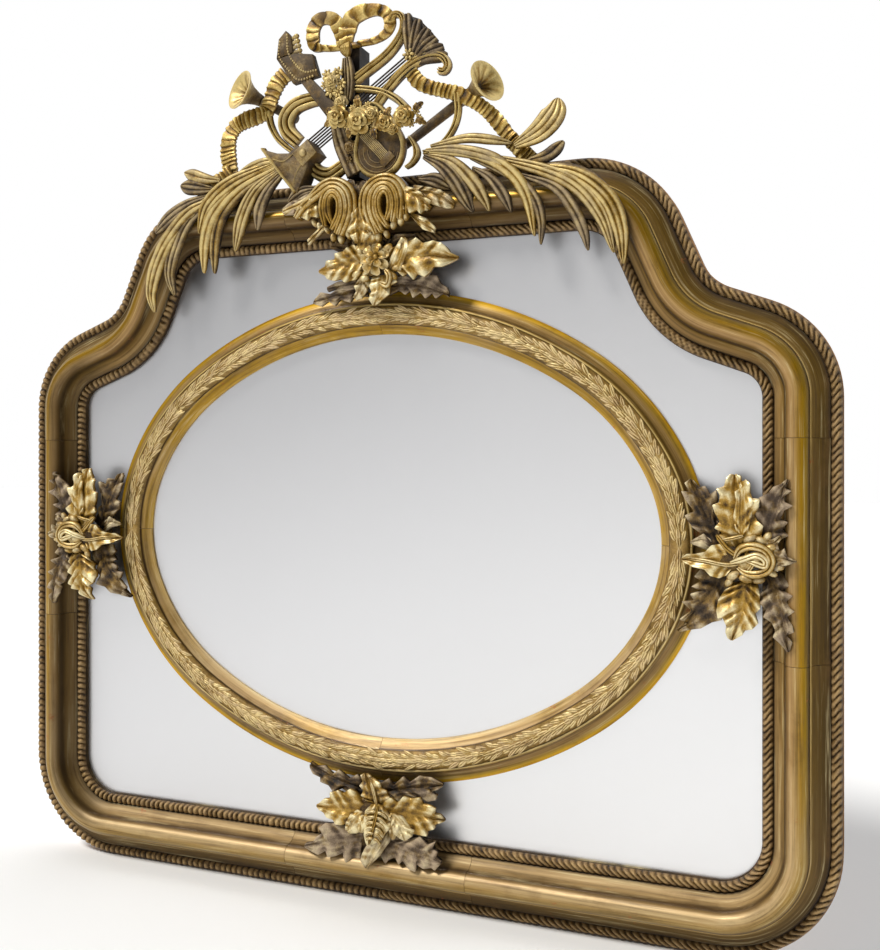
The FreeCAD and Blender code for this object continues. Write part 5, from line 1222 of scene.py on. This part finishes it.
def falls():
    """The pleated ribbons that hang from the bow, each in two runs with a thin tail."""
    fall = [(-162, 1412), (-178, 1398), (-190, 1376), (-198, 1354), (-216, 1346), (-240, 1341), (-262, 1332),
            (-275, 1314), (-278, 1292), (-276, 1270), (-272, 1250)]
    low = [(-268, 1252), (-284, 1242), (-300, 1234), (-316, 1222), (-330, 1208)]
    tail = [(-198, 1350), (-192, 1326), (-180, 1304), (-164, 1288), (-148, 1276)]
    left = (fall, 28, 26, 320), (low, 27, 0.75), tail
    fall = [(70, 1388), (84, 1368), (104, 1356), (130, 1347), (156, 1338), (184, 1322), (208, 1302),
            (228, 1278),
            (242, 1258)]
    low = [(242, 1258), (254, 1244), (266, 1232), (278, 1220), (286, 1208)]
    tail = [(152, 1340), (154, 1312), (148, 1288), (134, 1268), (114, 1254), (94, 1250)]
    right = (fall, 23, 22, 280), (low, 25, 0.85), tail
    for name, ((fall, wide, folds, count), (low, low_wide, gild), tail) in (("left", left), ("right", right)):
        kit = Kit()
        strip(kit, crest_line(fall, CREST_BED, count), ruffled(wide, folds, count), 10, pleated(folds), 0.85)
        strip(kit, crest_line(low, 54, 110), ruffled(low_wide, 9, 110), 16, pleated(9), gild)
        strip(kit, crest_line(tail, CREST_BED, 60), np.linspace(14, 10, 60), 10, reeded(2), 0.85, 9)
        kit.build("ribbon_" + name + "_pleats", m_ribbon, "gilded_ribbon", ("ribbon_" + name,), sharp=75)


def horn(hand, end, mouth, turn):
    """A trumpet whose bell turns towards the eye."""
    kit = Kit()
    a, b = np.array([*end, 40.0]), np.array([*mouth, 40.0])
    length = np.linalg.norm(b - a)
    neck = length - 50
    profile = [(0, 7.2, 0.3, 0.2, 0), (2, 8.4, 0.6, 0.25, 0), (5, 8.4, 0.6, 0.25, 0), (6, 7.6, 0.3, 0.1, 0),
               (neck * 0.5, 8.4, 0.45, 0.12, 0), (neck * 0.9, 8.9, 0.45, 0.12, 0),
               (neck * 0.93, 10.4, 0.7, 0.3, 0),
               (neck * 0.97, 10.4, 0.7, 0.3, 0), (neck, 9.2, 0.3, 0.1, 0), (neck + 15, 11.6, 0.45, 0.15, 0),
               (neck + 28, 16.2, 0.5, 0.2, 0), (neck + 38, 22.5, 0.55, 0.35, 0),
               (neck + 45, 29.5, 0.65, 0.7, 0),
               (neck + 48.5, 34.6, 0.9, 0.95, 0), (neck + 50, 35, 1.0, 1.0, 0),
               (neck + 50, 31.5, 0.9, 1.0, 0),
               (neck + 46, 27, 0.95, 0.95, 0.14), (neck + 41, 19, 0.9, 0.9, 0.18),
               (neck + 36, 11, 0.6, 0.9, 0.2),
               (neck + 31, 4, 0.15, 0.8, 0)]
    lathe(kit, a, b, profile, 40, 10)
    axis = (b - a) / length
    front = np.array([EYE_X, EYE_Z, EYE_D]) - b
    front -= (front @ axis) * axis
    front /= np.linalg.norm(front)
    pivot = a + axis * (neck + 2)
    cos, sin = math.cos(turn), math.sin(turn)
    points = kit.verts[0]
    reach = (points - pivot) @ axis
    out = (points - pivot) @ front
    rest = (points - pivot) - reach[:, None] * axis - out[:, None] * front
    bent = pivot + rest + (reach * cos - out * sin)[:, None] * axis + (reach * sin + out * cos)[:,
                                                                                                None] * front
    points[reach > 0] = bent[reach > 0]
    kit.build("horn_" + hand, m_trophy, "gilded_trophy", ("trumpet_" + hand,), sharp=60)


def lute():
    kit = Kit()
    cx, cz = 15.0, 1263.0
    # bowl and its raised rim
    outline = []
    for a in np.linspace(0, 2 * np.pi, 60, endpoint=False):
        r = 46 + 34 * max(0.0, math.sin(a)) ** 3 * (1 - 0.1 * math.cos(a))
        outline.append((cx + 44 * math.cos(a) - 12 * max(0, math.sin(a)) ** 3, cz + r * math.sin(a)))
    board(kit, outline, LUTE_BED, 73.5, 0.12, 0.36, 3)
    ring = np.array(outline + outline[:1])
    line = np.hstack([ring * 0.97 + np.array([[cx, cz]]) * 0.03, np.full((len(ring), 1), 66.0)])
    strip(kit, line, 9, 13, reeded(1, 0.5, 0.2, 0.8), 0.95, 7, bed=64)
    # ribs of the bowl
    for r in (36, 28, 20):
        angles = np.linspace(math.pi * 0.95, math.pi * 1.95, 14)
        arc = [(cx + r * math.cos(a), cz - 2 + r * math.sin(a), 72.5) for a in angles]
        strip(kit, smooth(arc, 30), 2.2, 2.4, reeded(1), 0.1, 5)
    # strings and bridge
    top, low = np.array([-12.0, 1292.0]), np.array([30.0, 1246.0])
    along = (low - top) / np.linalg.norm(low - top)
    across = np.array([-along[1], along[0]])
    neck = [top + across * 11, low + across * 9, low - across * 9, top - across * 11]
    board(kit, neck, 72, 76.5, 0.15, 0.45, 1)
    for k in range(7):
        shift = across * 2.6 * (k - 3)
        rod(kit, [(*(top + shift), 77.2), (*(low + shift), 77.2)], 0.8, 0.35, 0.85, 6)
    bridge = [low + across * 13 - along * 5, low + across * 13 + along * 9, low - across * 13 + along * 9,
              low - across * 13 - along * 5]
    board(kit, bridge, 72, 79, 0.25, 0.5, 2)
    kit.build("lute_bowl", m_trophy, "dark_trophy", ("lute_body",), sharp=60)


def pegbox():
    kit = Kit()
    # neck, box, scroll and the piece that joins the bowl: outline, depth of sight, front, gilding, tone
    for outline, sight, front, gild, tone in (
            ([(-134, 1394), (-120, 1404), (-62, 1344), (-50, 1330), (-74, 1316)], 72, 76, 0.08, 0.42),
            ([(-182, 1440), (-150, 1394), (-100, 1402), (-112, 1440), (-146, 1446)], 74, 77, 0.06, 0.4),
            ([(-182, 1440), (-178, 1474), (-164, 1487), (-154, 1476), (-150, 1448)], 74, 77, 0.08, 0.42),
            ([(-62, 1322), (-8, 1318), (-10, 1345), (-50, 1340)], 72, 75, 0.08, 0.36)):
        crest_board(kit, outline, sight, LUTE_BED, front, gild, tone, 2.5)
    # beading along the edges of the box
    for row in (((-176, 1470), (-178, 1446), (-160, 1420), (-140, 1400), (-112, 1403)),
                ((-162, 1480), (-160, 1450), (-146, 1428), (-128, 1412), (-106, 1412))):
        for x, z, d in crest_line(row, 77, 22):
            dome(kit, x, z, d - 0.8, 2.4, 2.6, 0.35, 0.9, 4, 8)
    # pegs fanned out to the right of the scroll
    for k in range(5):
        z = 1474 - 8.5 * k
        inner, outer = at_height([(-156, z - 4), (-143 + 2 * k, z + 1)], CREST_READ, 70)
        rod(kit, [(*inner, 70), (*outer, 71)], np.array([2.0, 3.0, 4.0]), 0.5, 0.8, 8)
        dome(kit, *outer, 69, 4.6, 6, 0.7, 0.85, 5, 10)
    kit.build("lute_pegbox", m_trophy, "dark_trophy", ("lute_neck",), sharp=60)


def garland():
    kit = Kit()
    bed = [(-56, 1322, 77.6), (-30, 1318, 77.6), (-10, 1312, 77.6), (20, 1304, 77.6), (46, 1300, 77.6),
           (76, 1310, 77.6)]
    strip(kit, smooth(bed, 60), 18, 7, pleated(12), 0.5, 9)
    for x, z, r, gild, tone in (
            (-56, 1322, 21, 1.0, 0.66), (-16, 1310, 24, 1.0, 0.7), (30, 1303, 16, 1.0, 0.6),
            (64, 1310, 19, 1.0, 0.6), (6, 1320, 14, 0.9, 0.75), (44, 1292, 11, 0.9, 0.6)):
        rose(kit, x, z, 80, r, gild, tone, x * 0.13)
    for x, z, r, tone in (
            (-14, 1330, 9, 0.95), (-30, 1334, 7, 0.9), (-2, 1336, 7, 0.85), (18, 1318, 8, 0.9),
            (50, 1312, 8, 0.95), (84, 1316, 8, 0.9), (76, 1298, 8, 0.7), (56, 1296, 7, 0.85),
            (-40, 1306, 7, 0.8), (90, 1306, 6, 0.8), (8, 1298, 7, 0.75)):
        daisy(kit, x, z, 80, r, 7, 0.85, tone, x * 0.2)
    for x, z, a in ((-70, 1332, 2.4), (-72, 1314, 3.4), (88, 1322, 0.8), (92, 1300, -0.5), (10, 1290, -1.4),
                    (-34, 1296, -2.0), (-20, 1344, 1.7), (34, 1318, 1.2)):
        spine = [(x - 8 * math.cos(a), z - 8 * math.sin(a), 80), (x, z, 85),
                 (x + 12 * math.cos(a), z + 12 * math.sin(a), 80)]
        toothed_leaf(kit, spine, 15, 3, 1, 0.7)
    kit.build("rose_heads", m_trophy, "gilded_trophy", ("rose_garland",), sharp=80)


def posy():
    """The flowers at the lute's neck, the tassel, the falling strip and its dark flower, and a crescent."""
    kit = Kit()
    for x, z, r, tone, gild in (
            (-76, 1392, 13, 1.0, 0.75), (-86, 1402, 8, 0.95, 0.7), (-66, 1404, 8, 0.95, 0.7),
            (-60, 1384, 8, 0.9, 0.8), (-78, 1374, 10, 0.9, 0.9), (-90, 1386, 7, 0.85, 0.8),
            (-64, 1370, 8, 0.85, 0.9)):
        daisy(kit, *sighted(x, z, CREST_READ, 80), 76 + (x % 3), 1.3 * r, 7, gild, tone, x)
    rose(kit, *sighted(-76, 1388, CREST_READ, 80), 80, 13, 0.7, 0.8)
    rose(kit, *sighted(-60, 1352, CREST_READ, 80), 74, 14, 0.6, 0.8)
    daisy(kit, *sighted(60, 1421, CREST_READ, 76), 63, 11, 6, 0.7, 1.0)
    tassel = placed([(-47, 1424), (-45, 1400), (-44, 1378), (-46, 1352)], CREST_READ, 64)
    blade(kit, tassel, 24, 4, 9, 0.1, 6, 26, 0.7, 0.6, 0.5, 0.1)
    falling = placed([(-64, 1312), (-56, 1284), (-44, 1256), (-32, 1228)], CREST_READ, 66)
    blade(kit, falling, 34, 3, 5, 0.15, 6, 26, 0.9, 0.8, 0.5)
    rose(kit, *sighted(-43, 1275, CREST_READ, 78), 72, 12, 0.3, 0.5)
    for z in (1254, 1292):
        daisy(kit, *sighted(-44, z, CREST_READ, 74), 71, 6, 6, 0.4, 0.6)
    crescent = crest_line([(70, 1278), (80, 1262), (82, 1246), (74, 1234), (64, 1228)], 64, 30)
    strip(kit, crescent, graded(30, [0, 0.5, 1], [5, 13, 5]), 14, reeded(2), 0.8, 9)
    kit.build("crest_posy", m_trophy, "gilded_trophy", sharp=80)


def palms():
    # a blade: places along it, width, gilding, flutes, lift and shift of tone
    right = [
        ([(100, 1240), (132, 1222), (158, 1192), (184, 1144)], 24, 0.04, 3, 0, -0.05),
        ([(108, 1242), (150, 1226), (184, 1192), (204, 1160), (211, 1143)], 18, 0.55, 2, 3, 0.1),
        ([(184, 1214), (212, 1196), (234, 1168), (248, 1138)], 15, 0.02, 2, 1, 0.0),
        ([(110, 1247), (190, 1234), (244, 1204), (274, 1160), (286, 1098)], 17, 0.95, 2, 5, 0.15),
        ([(180, 1230), (250, 1194), (284, 1160), (297, 1122), (296, 1084)], 14, 0.15, 2, 2, 0.05),
        ([(262, 1196), (318, 1172), (346, 1138), (364, 1100), (371, 1070)], 16, 0.06, 2, 1, 0.05),
        ([(200, 1232), (300, 1200), (356, 1168), (392, 1120), (411, 1064)], 20, 0.75, 3, 3, 0.12),
        ([(270, 1208), (348, 1190), (398, 1152), (420, 1104), (426, 1046)], 22, 0.95, 3, 4, 0.0),
        ([(276, 1206), (324, 1200), (366, 1184), (402, 1163)], 19, 0.1, 2, 0, 0.0),
        ([(112, 1256), (170, 1262), (212, 1256), (250, 1246)], 13, 0.75, 2, 2, 0.15),
        ([(254, 1242), (292, 1260), (316, 1284), (324, 1308)], 32, 0.8, 4, 2, 0.1),
        ([(276, 1216), (308, 1222), (333, 1241)], 17, 0.3, 2, 2, -0.1),
        ([(104, 1250), (160, 1246), (222, 1224), (264, 1186)], 15, 0.45, 2, 6, 0.2),
        ([(92, 1204), (120, 1200), (148, 1184)], 20, 0.05, 3, 0, -0.1)]
    left = [
        ([(-160, 1238), (-190, 1210), (-207, 1178), (-211, 1144)], 18, 0.08, 2, 0, 0.05),
        ([(-166, 1244), (-214, 1214), (-242, 1168), (-256, 1110)], 21, 0.6, 3, 2, 0.08),
        ([(-168, 1248), (-240, 1216), (-282, 1176), (-297, 1130), (-298, 1074)], 20, 0.5, 2, 1, -0.12),
        ([(-170, 1252), (-250, 1222), (-300, 1178), (-318, 1130), (-320, 1076)], 20, 0.85, 2, 4, 0.15),
        ([(-180, 1256), (-262, 1232), (-312, 1196), (-330, 1146)], 22, 0.9, 3, 6, 0.0),
        ([(-270, 1216), (-346, 1178), (-378, 1130), (-392, 1080), (-382, 1040)], 22, 0.25, 3, 1, 0.05),
        ([(-300, 1212), (-372, 1166), (-414, 1108), (-432, 1050), (-425, 1012)], 24, 0.8, 3, 3, 0.12),
        ([(-290, 1206), (-350, 1188), (-400, 1140), (-436, 1080)], 18, 0.7, 2, 5, 0.1),
        ([(-300, 1212), (-350, 1200), (-390, 1180), (-422, 1154)], 21, 0.04, 3, 0, 0.1),
        ([(-150, 1260), (-200, 1260), (-250, 1244)], 13, 0.7, 2, 3, 0.2),
        ([(-286, 1236), (-324, 1244), (-360, 1257)], 19, 0.6, 2, 2, 0.1),
        ([(-300, 1222), (-338, 1228), (-368, 1234)], 22, 0.15, 3, 2, -0.05),
        ([(-92, 1206), (-124, 1202), (-150, 1186)], 18, 0.05, 3, 0, 0.0)]
    for name, blades in (("right", right), ("left", left)):
        kit = Kit()
        for points, width, gild, flutes, lift, shift in blades:
            gild = gild * 0.85 if name == "right" else gild
            depth = graded(len(points), [0, 0.35, 0.7, 1.0], [74, 79, 78, 68]) + lift
            blade(kit, placed(points, TOP_READ, depth), width * 1.25, flutes, 5.0, gild, 4.5, 44, 0.14, 0.3,
                  0.66,
                  shift + 0.04)
        kit.build("palm_" + name + "_blades", m_palm, "gilded_palm", ("palm_spray_" + name,), sharp=75)


def acanthus():
    kit = Kit()
    read = 112.0
    # a strand: places round the middle of the scroll, width, depth and lift
    strands = [
        ([(-24, -60), (-37, -24), (-35, 4), (-21, 20), (0, 27), (22, 20), (36, -2), (38, -36)], 10, 84, 9),
        ([(-14, -63), (-28, -28), (-27, 0), (-14, 16), (3, 20), (20, 12), (29, -10), (27, -42)], 10, 88, 10),
        ([(-5, -60), (-19, -30), (-19, -4), (-9, 11), (4, 13), (15, 4), (20, -16), (15, -46)], 9, 90, 9),
        ([(4, -52), (-9, -30), (-11, -8), (-4, 4), (5, 4), (10, -6), (10, -24), (3, -42)], 8, 92, 7)]
    for side, cx, cz in ((-1, -50.0, 1180.0), (1, 42.0, 1178.0)):
        for k, (path, width, depth, lift) in enumerate(strands):
            if side < 0 and k < 2:
                path = path[:6] + [(48 + 6 * k, -2 - 8 * k), (92 - 22 * k, -16 - 12 * k)]
            line = placed([(cx + side * x, cz + z) for x, z in path], read, depth)
            line[:, 2] = depth + 4 * np.sin(np.linspace(0, np.pi, len(line))) - 4
            wide = graded(80, [0, 0.12, 0.5, 0.85, 1], [7, 12, 10, 12, 7]) * width / 10
            strip(kit, smooth(line, 80), 1.4 * wide, lift, reeded(2, 0.66, 0.12, 0.6 - 0.06 * k), 1.0, 13,
                  bed=73)
        # lobes that end the bundles below
        for x, z, r, turn in ((-26, -62, 9, 1.2), (-12, -68, 9, 1.5), (2, -64, 8, 1.8), (14, -50, 8, 1.3),
                              (27, -44, 9, 1.4), (37, -38, 8, 1.2)):
            dome(kit, *sighted(cx + side * x, cz + z, read, 84), 74, r, 13, 0.9, 0.75, 6, 12, 0.62,
                 turn if side > 0 else math.pi - turn)
    # outer leaves
    drawn_leaf(kit, [(66, 1180), (98, 1172), (122, 1150)],
               [(70, 1152), (82, 1150), (86, 1144), (98, 1148), (104, 1142), (112, 1146), (120, 1146)],
               [(74, 1190), (92, 1184), (106, 1176), (112, 1168), (122, 1162), (120, 1154), (124, 1152)],
               (62, 70, 68, 60), 9, 2, 10, 1.0, 0.1, 1.6, 112.0, 1, 0.5)
    drawn_leaf(kit, [(86, 1180), (126, 1172), (160, 1152)],
               [(90, 1160), (118, 1158), (134, 1152), (146, 1148), (158, 1147)],
               [(92, 1190), (118, 1184), (138, 1178), (152, 1168), (161, 1158)],
               (56, 62, 62, 56), 7, 1, 10, 0.55, 0.1, 1.4, 106.0, 1, 0.45)
    drawn_leaf(kit, [(-78, 1178), (-98, 1166), (-118, 1154)],
               [(-76, 1190), (-96, 1184), (-112, 1170), (-120, 1160)],
               [(-70, 1160), (-80, 1150), (-92, 1152), (-100, 1147), (-110, 1152), (-118, 1150)],
               (62, 68, 66, 58), 8, 2, 10, 0.9, 0.2, 1.5, 112.0, 1, 0.5)
    drawn_leaf(kit, [(-86, 1188), (-118, 1176), (-150, 1166)],
               [(-90, 1198), (-120, 1184), (-136, 1180), (-148, 1172)],
               [(-84, 1178), (-110, 1168), (-128, 1160), (-146, 1160)],
               (56, 62, 62, 56), 7, 1, 10, 0.15, 0.3, 1.4, 106.0, 1, 0.45)
    for root, tip, bulge_side in (((-60, 1144), (-100, 1110), -1), ((82, 1144), (127, 1114), 1)):
        (ax, az), (bx, bz) = root, tip
        mx, mz = ax * 0.4 + bx * 0.6, az * 0.4 + bz * 0.6
        drawn_leaf(kit, [root, (mx, mz), tip], [(ax + 4, az - 4), (mx + 2 * bulge_side - 4, mz - 9),
                                                (bx, bz - 4), tip],
                   [(ax - 2, az + 5), (mx + 4, mz + 9), (bx + 2 * bulge_side, bz + 5), tip],
                   (54, 60, 60, 56), 7, 2, 8, 0.85, 0.1, 1.2, 106.0, 1, 0.2, rows=40)
    # the leaf between the scrolls, and those behind them
    drawn_leaf(kit, [(-4, 1176), (-4, 1140), (-4, 1104)],
               [(8, 1170), (14, 1150), (10, 1138), (18, 1126), (12, 1114), (4, 1103)],
               [(-16, 1170), (-22, 1150), (-18, 1138), (-26, 1126), (-20, 1114), (-12, 1103)],
               (58, 66, 66, 60), 8, 1, 12, 0.9, 0.0, 1.2, 108.0, 1, 0.5)
    for x, z, a in ((-30, 1206, 2.2), (-12, 1200, 1.7), (-2, 1204, 1.2), (12, 1200, 0.9), (-22, 1196, 2.0),
                    (4, 1192, 1.4)):
        spine = [(x, z - 10, 74), (x + 8 * math.cos(a), z + 4 * math.sin(a), 80),
                 (x + 20 * math.cos(a), z + 14 * math.sin(a), 74)]
        toothed_leaf(kit, spine, 17, 4, 3, 0.08, 0.1)
    kit.build("acanthus_scrolls", m_leaf, "gilded_trophy", ("acanthus_cresting",), sharp=60)


lyre()
wires()
fan_plume()
bow()
falls()
horn("left", (-158, 1341), (-268, 1404), math.radians(58))
horn("right", (40, 1270), (202, 1370), math.radians(31))
lute()
pegbox()
garland()
posy()
palms()
acanthus()


# ---- room, light and camera ----------------------------------------------------------------
def floor():
    size = 14.0
    mesh = bpy.data.meshes.new("floor")
    mesh.from_pydata([(-size, -size, 0), (size, -size, 0), (size, size, 0), (-size, size, 0)], [],
                     [(0, 1, 2, 3)])
    mesh.materials.append(finish("pale_floor").set(Base_Color=(0.88, 0.89, 0.9, 1), Roughness=0.9))
    obj = added("floor", mesh)
    obj.location.z = -0.0005


def room():
    """Light, white behind the mirror and fading to the right and upwards in front of it, and a soft sun."""
    world = bpy.data.worlds.new("studio")
    n = Nodes(world, "Background")
    axes = n.axes("Generated")
    sideways, upwards, behind = (n.ramp(n.span(axes[axis], -1.0, 1.0), stops) for axis, stops in (
        ("X", ((0.0, 0.2), (0.12, 0.4), (0.2, 0.8), (0.32, 0.9), (0.5, 0.96), (0.6, 0.4), (1.0, 0.08))),
        ("Z", ((0.0, 1.0), (0.5, 0.95), (0.58, 0.72), (0.64, 0.4), (0.75, 0.12), (1.0, 0.1))),
        ("Y", ((0.0, 0.0), (0.44, 0.0), (0.54, 1.0), (1.0, 1.0)))))
    n.set(Color=n.mix(behind, n.mix(1.0, sideways, upwards, "MULTIPLY"), (1, 1, 1, 1)), Strength=1.0)
    bpy.context.scene.world = world
    data = bpy.data.lights.new("key", "SUN")
    data.energy = 2.9
    data.angle = math.radians(14)
    data.color = (1.0, 0.975, 0.93)
    sun = added("key", data)
    sun.rotation_euler = Vector((0.36, 0.5, -0.79)).to_track_quat("-Z", "Y").to_euler()


def camera():
    """The photograph's view: level, from the right of the middle, and turned to the left."""
    data = bpy.data.cameras.new("camera")
    data.sensor_fit = "VERTICAL"
    data.sensor_height = 36.0
    data.lens = 40.55
    data.shift_y = -0.029
    obj = added("camera", data)
    obj.location = (EYE_X / MM, -EYE_D / MM, EYE_Z / MM)
    obj.rotation_euler = (math.pi / 2, 0, math.radians(21.525))
    bpy.context.scene.camera = obj


floor()
room()
camera()
bpy.context.scene.view_settings.view_transform = "Standard"
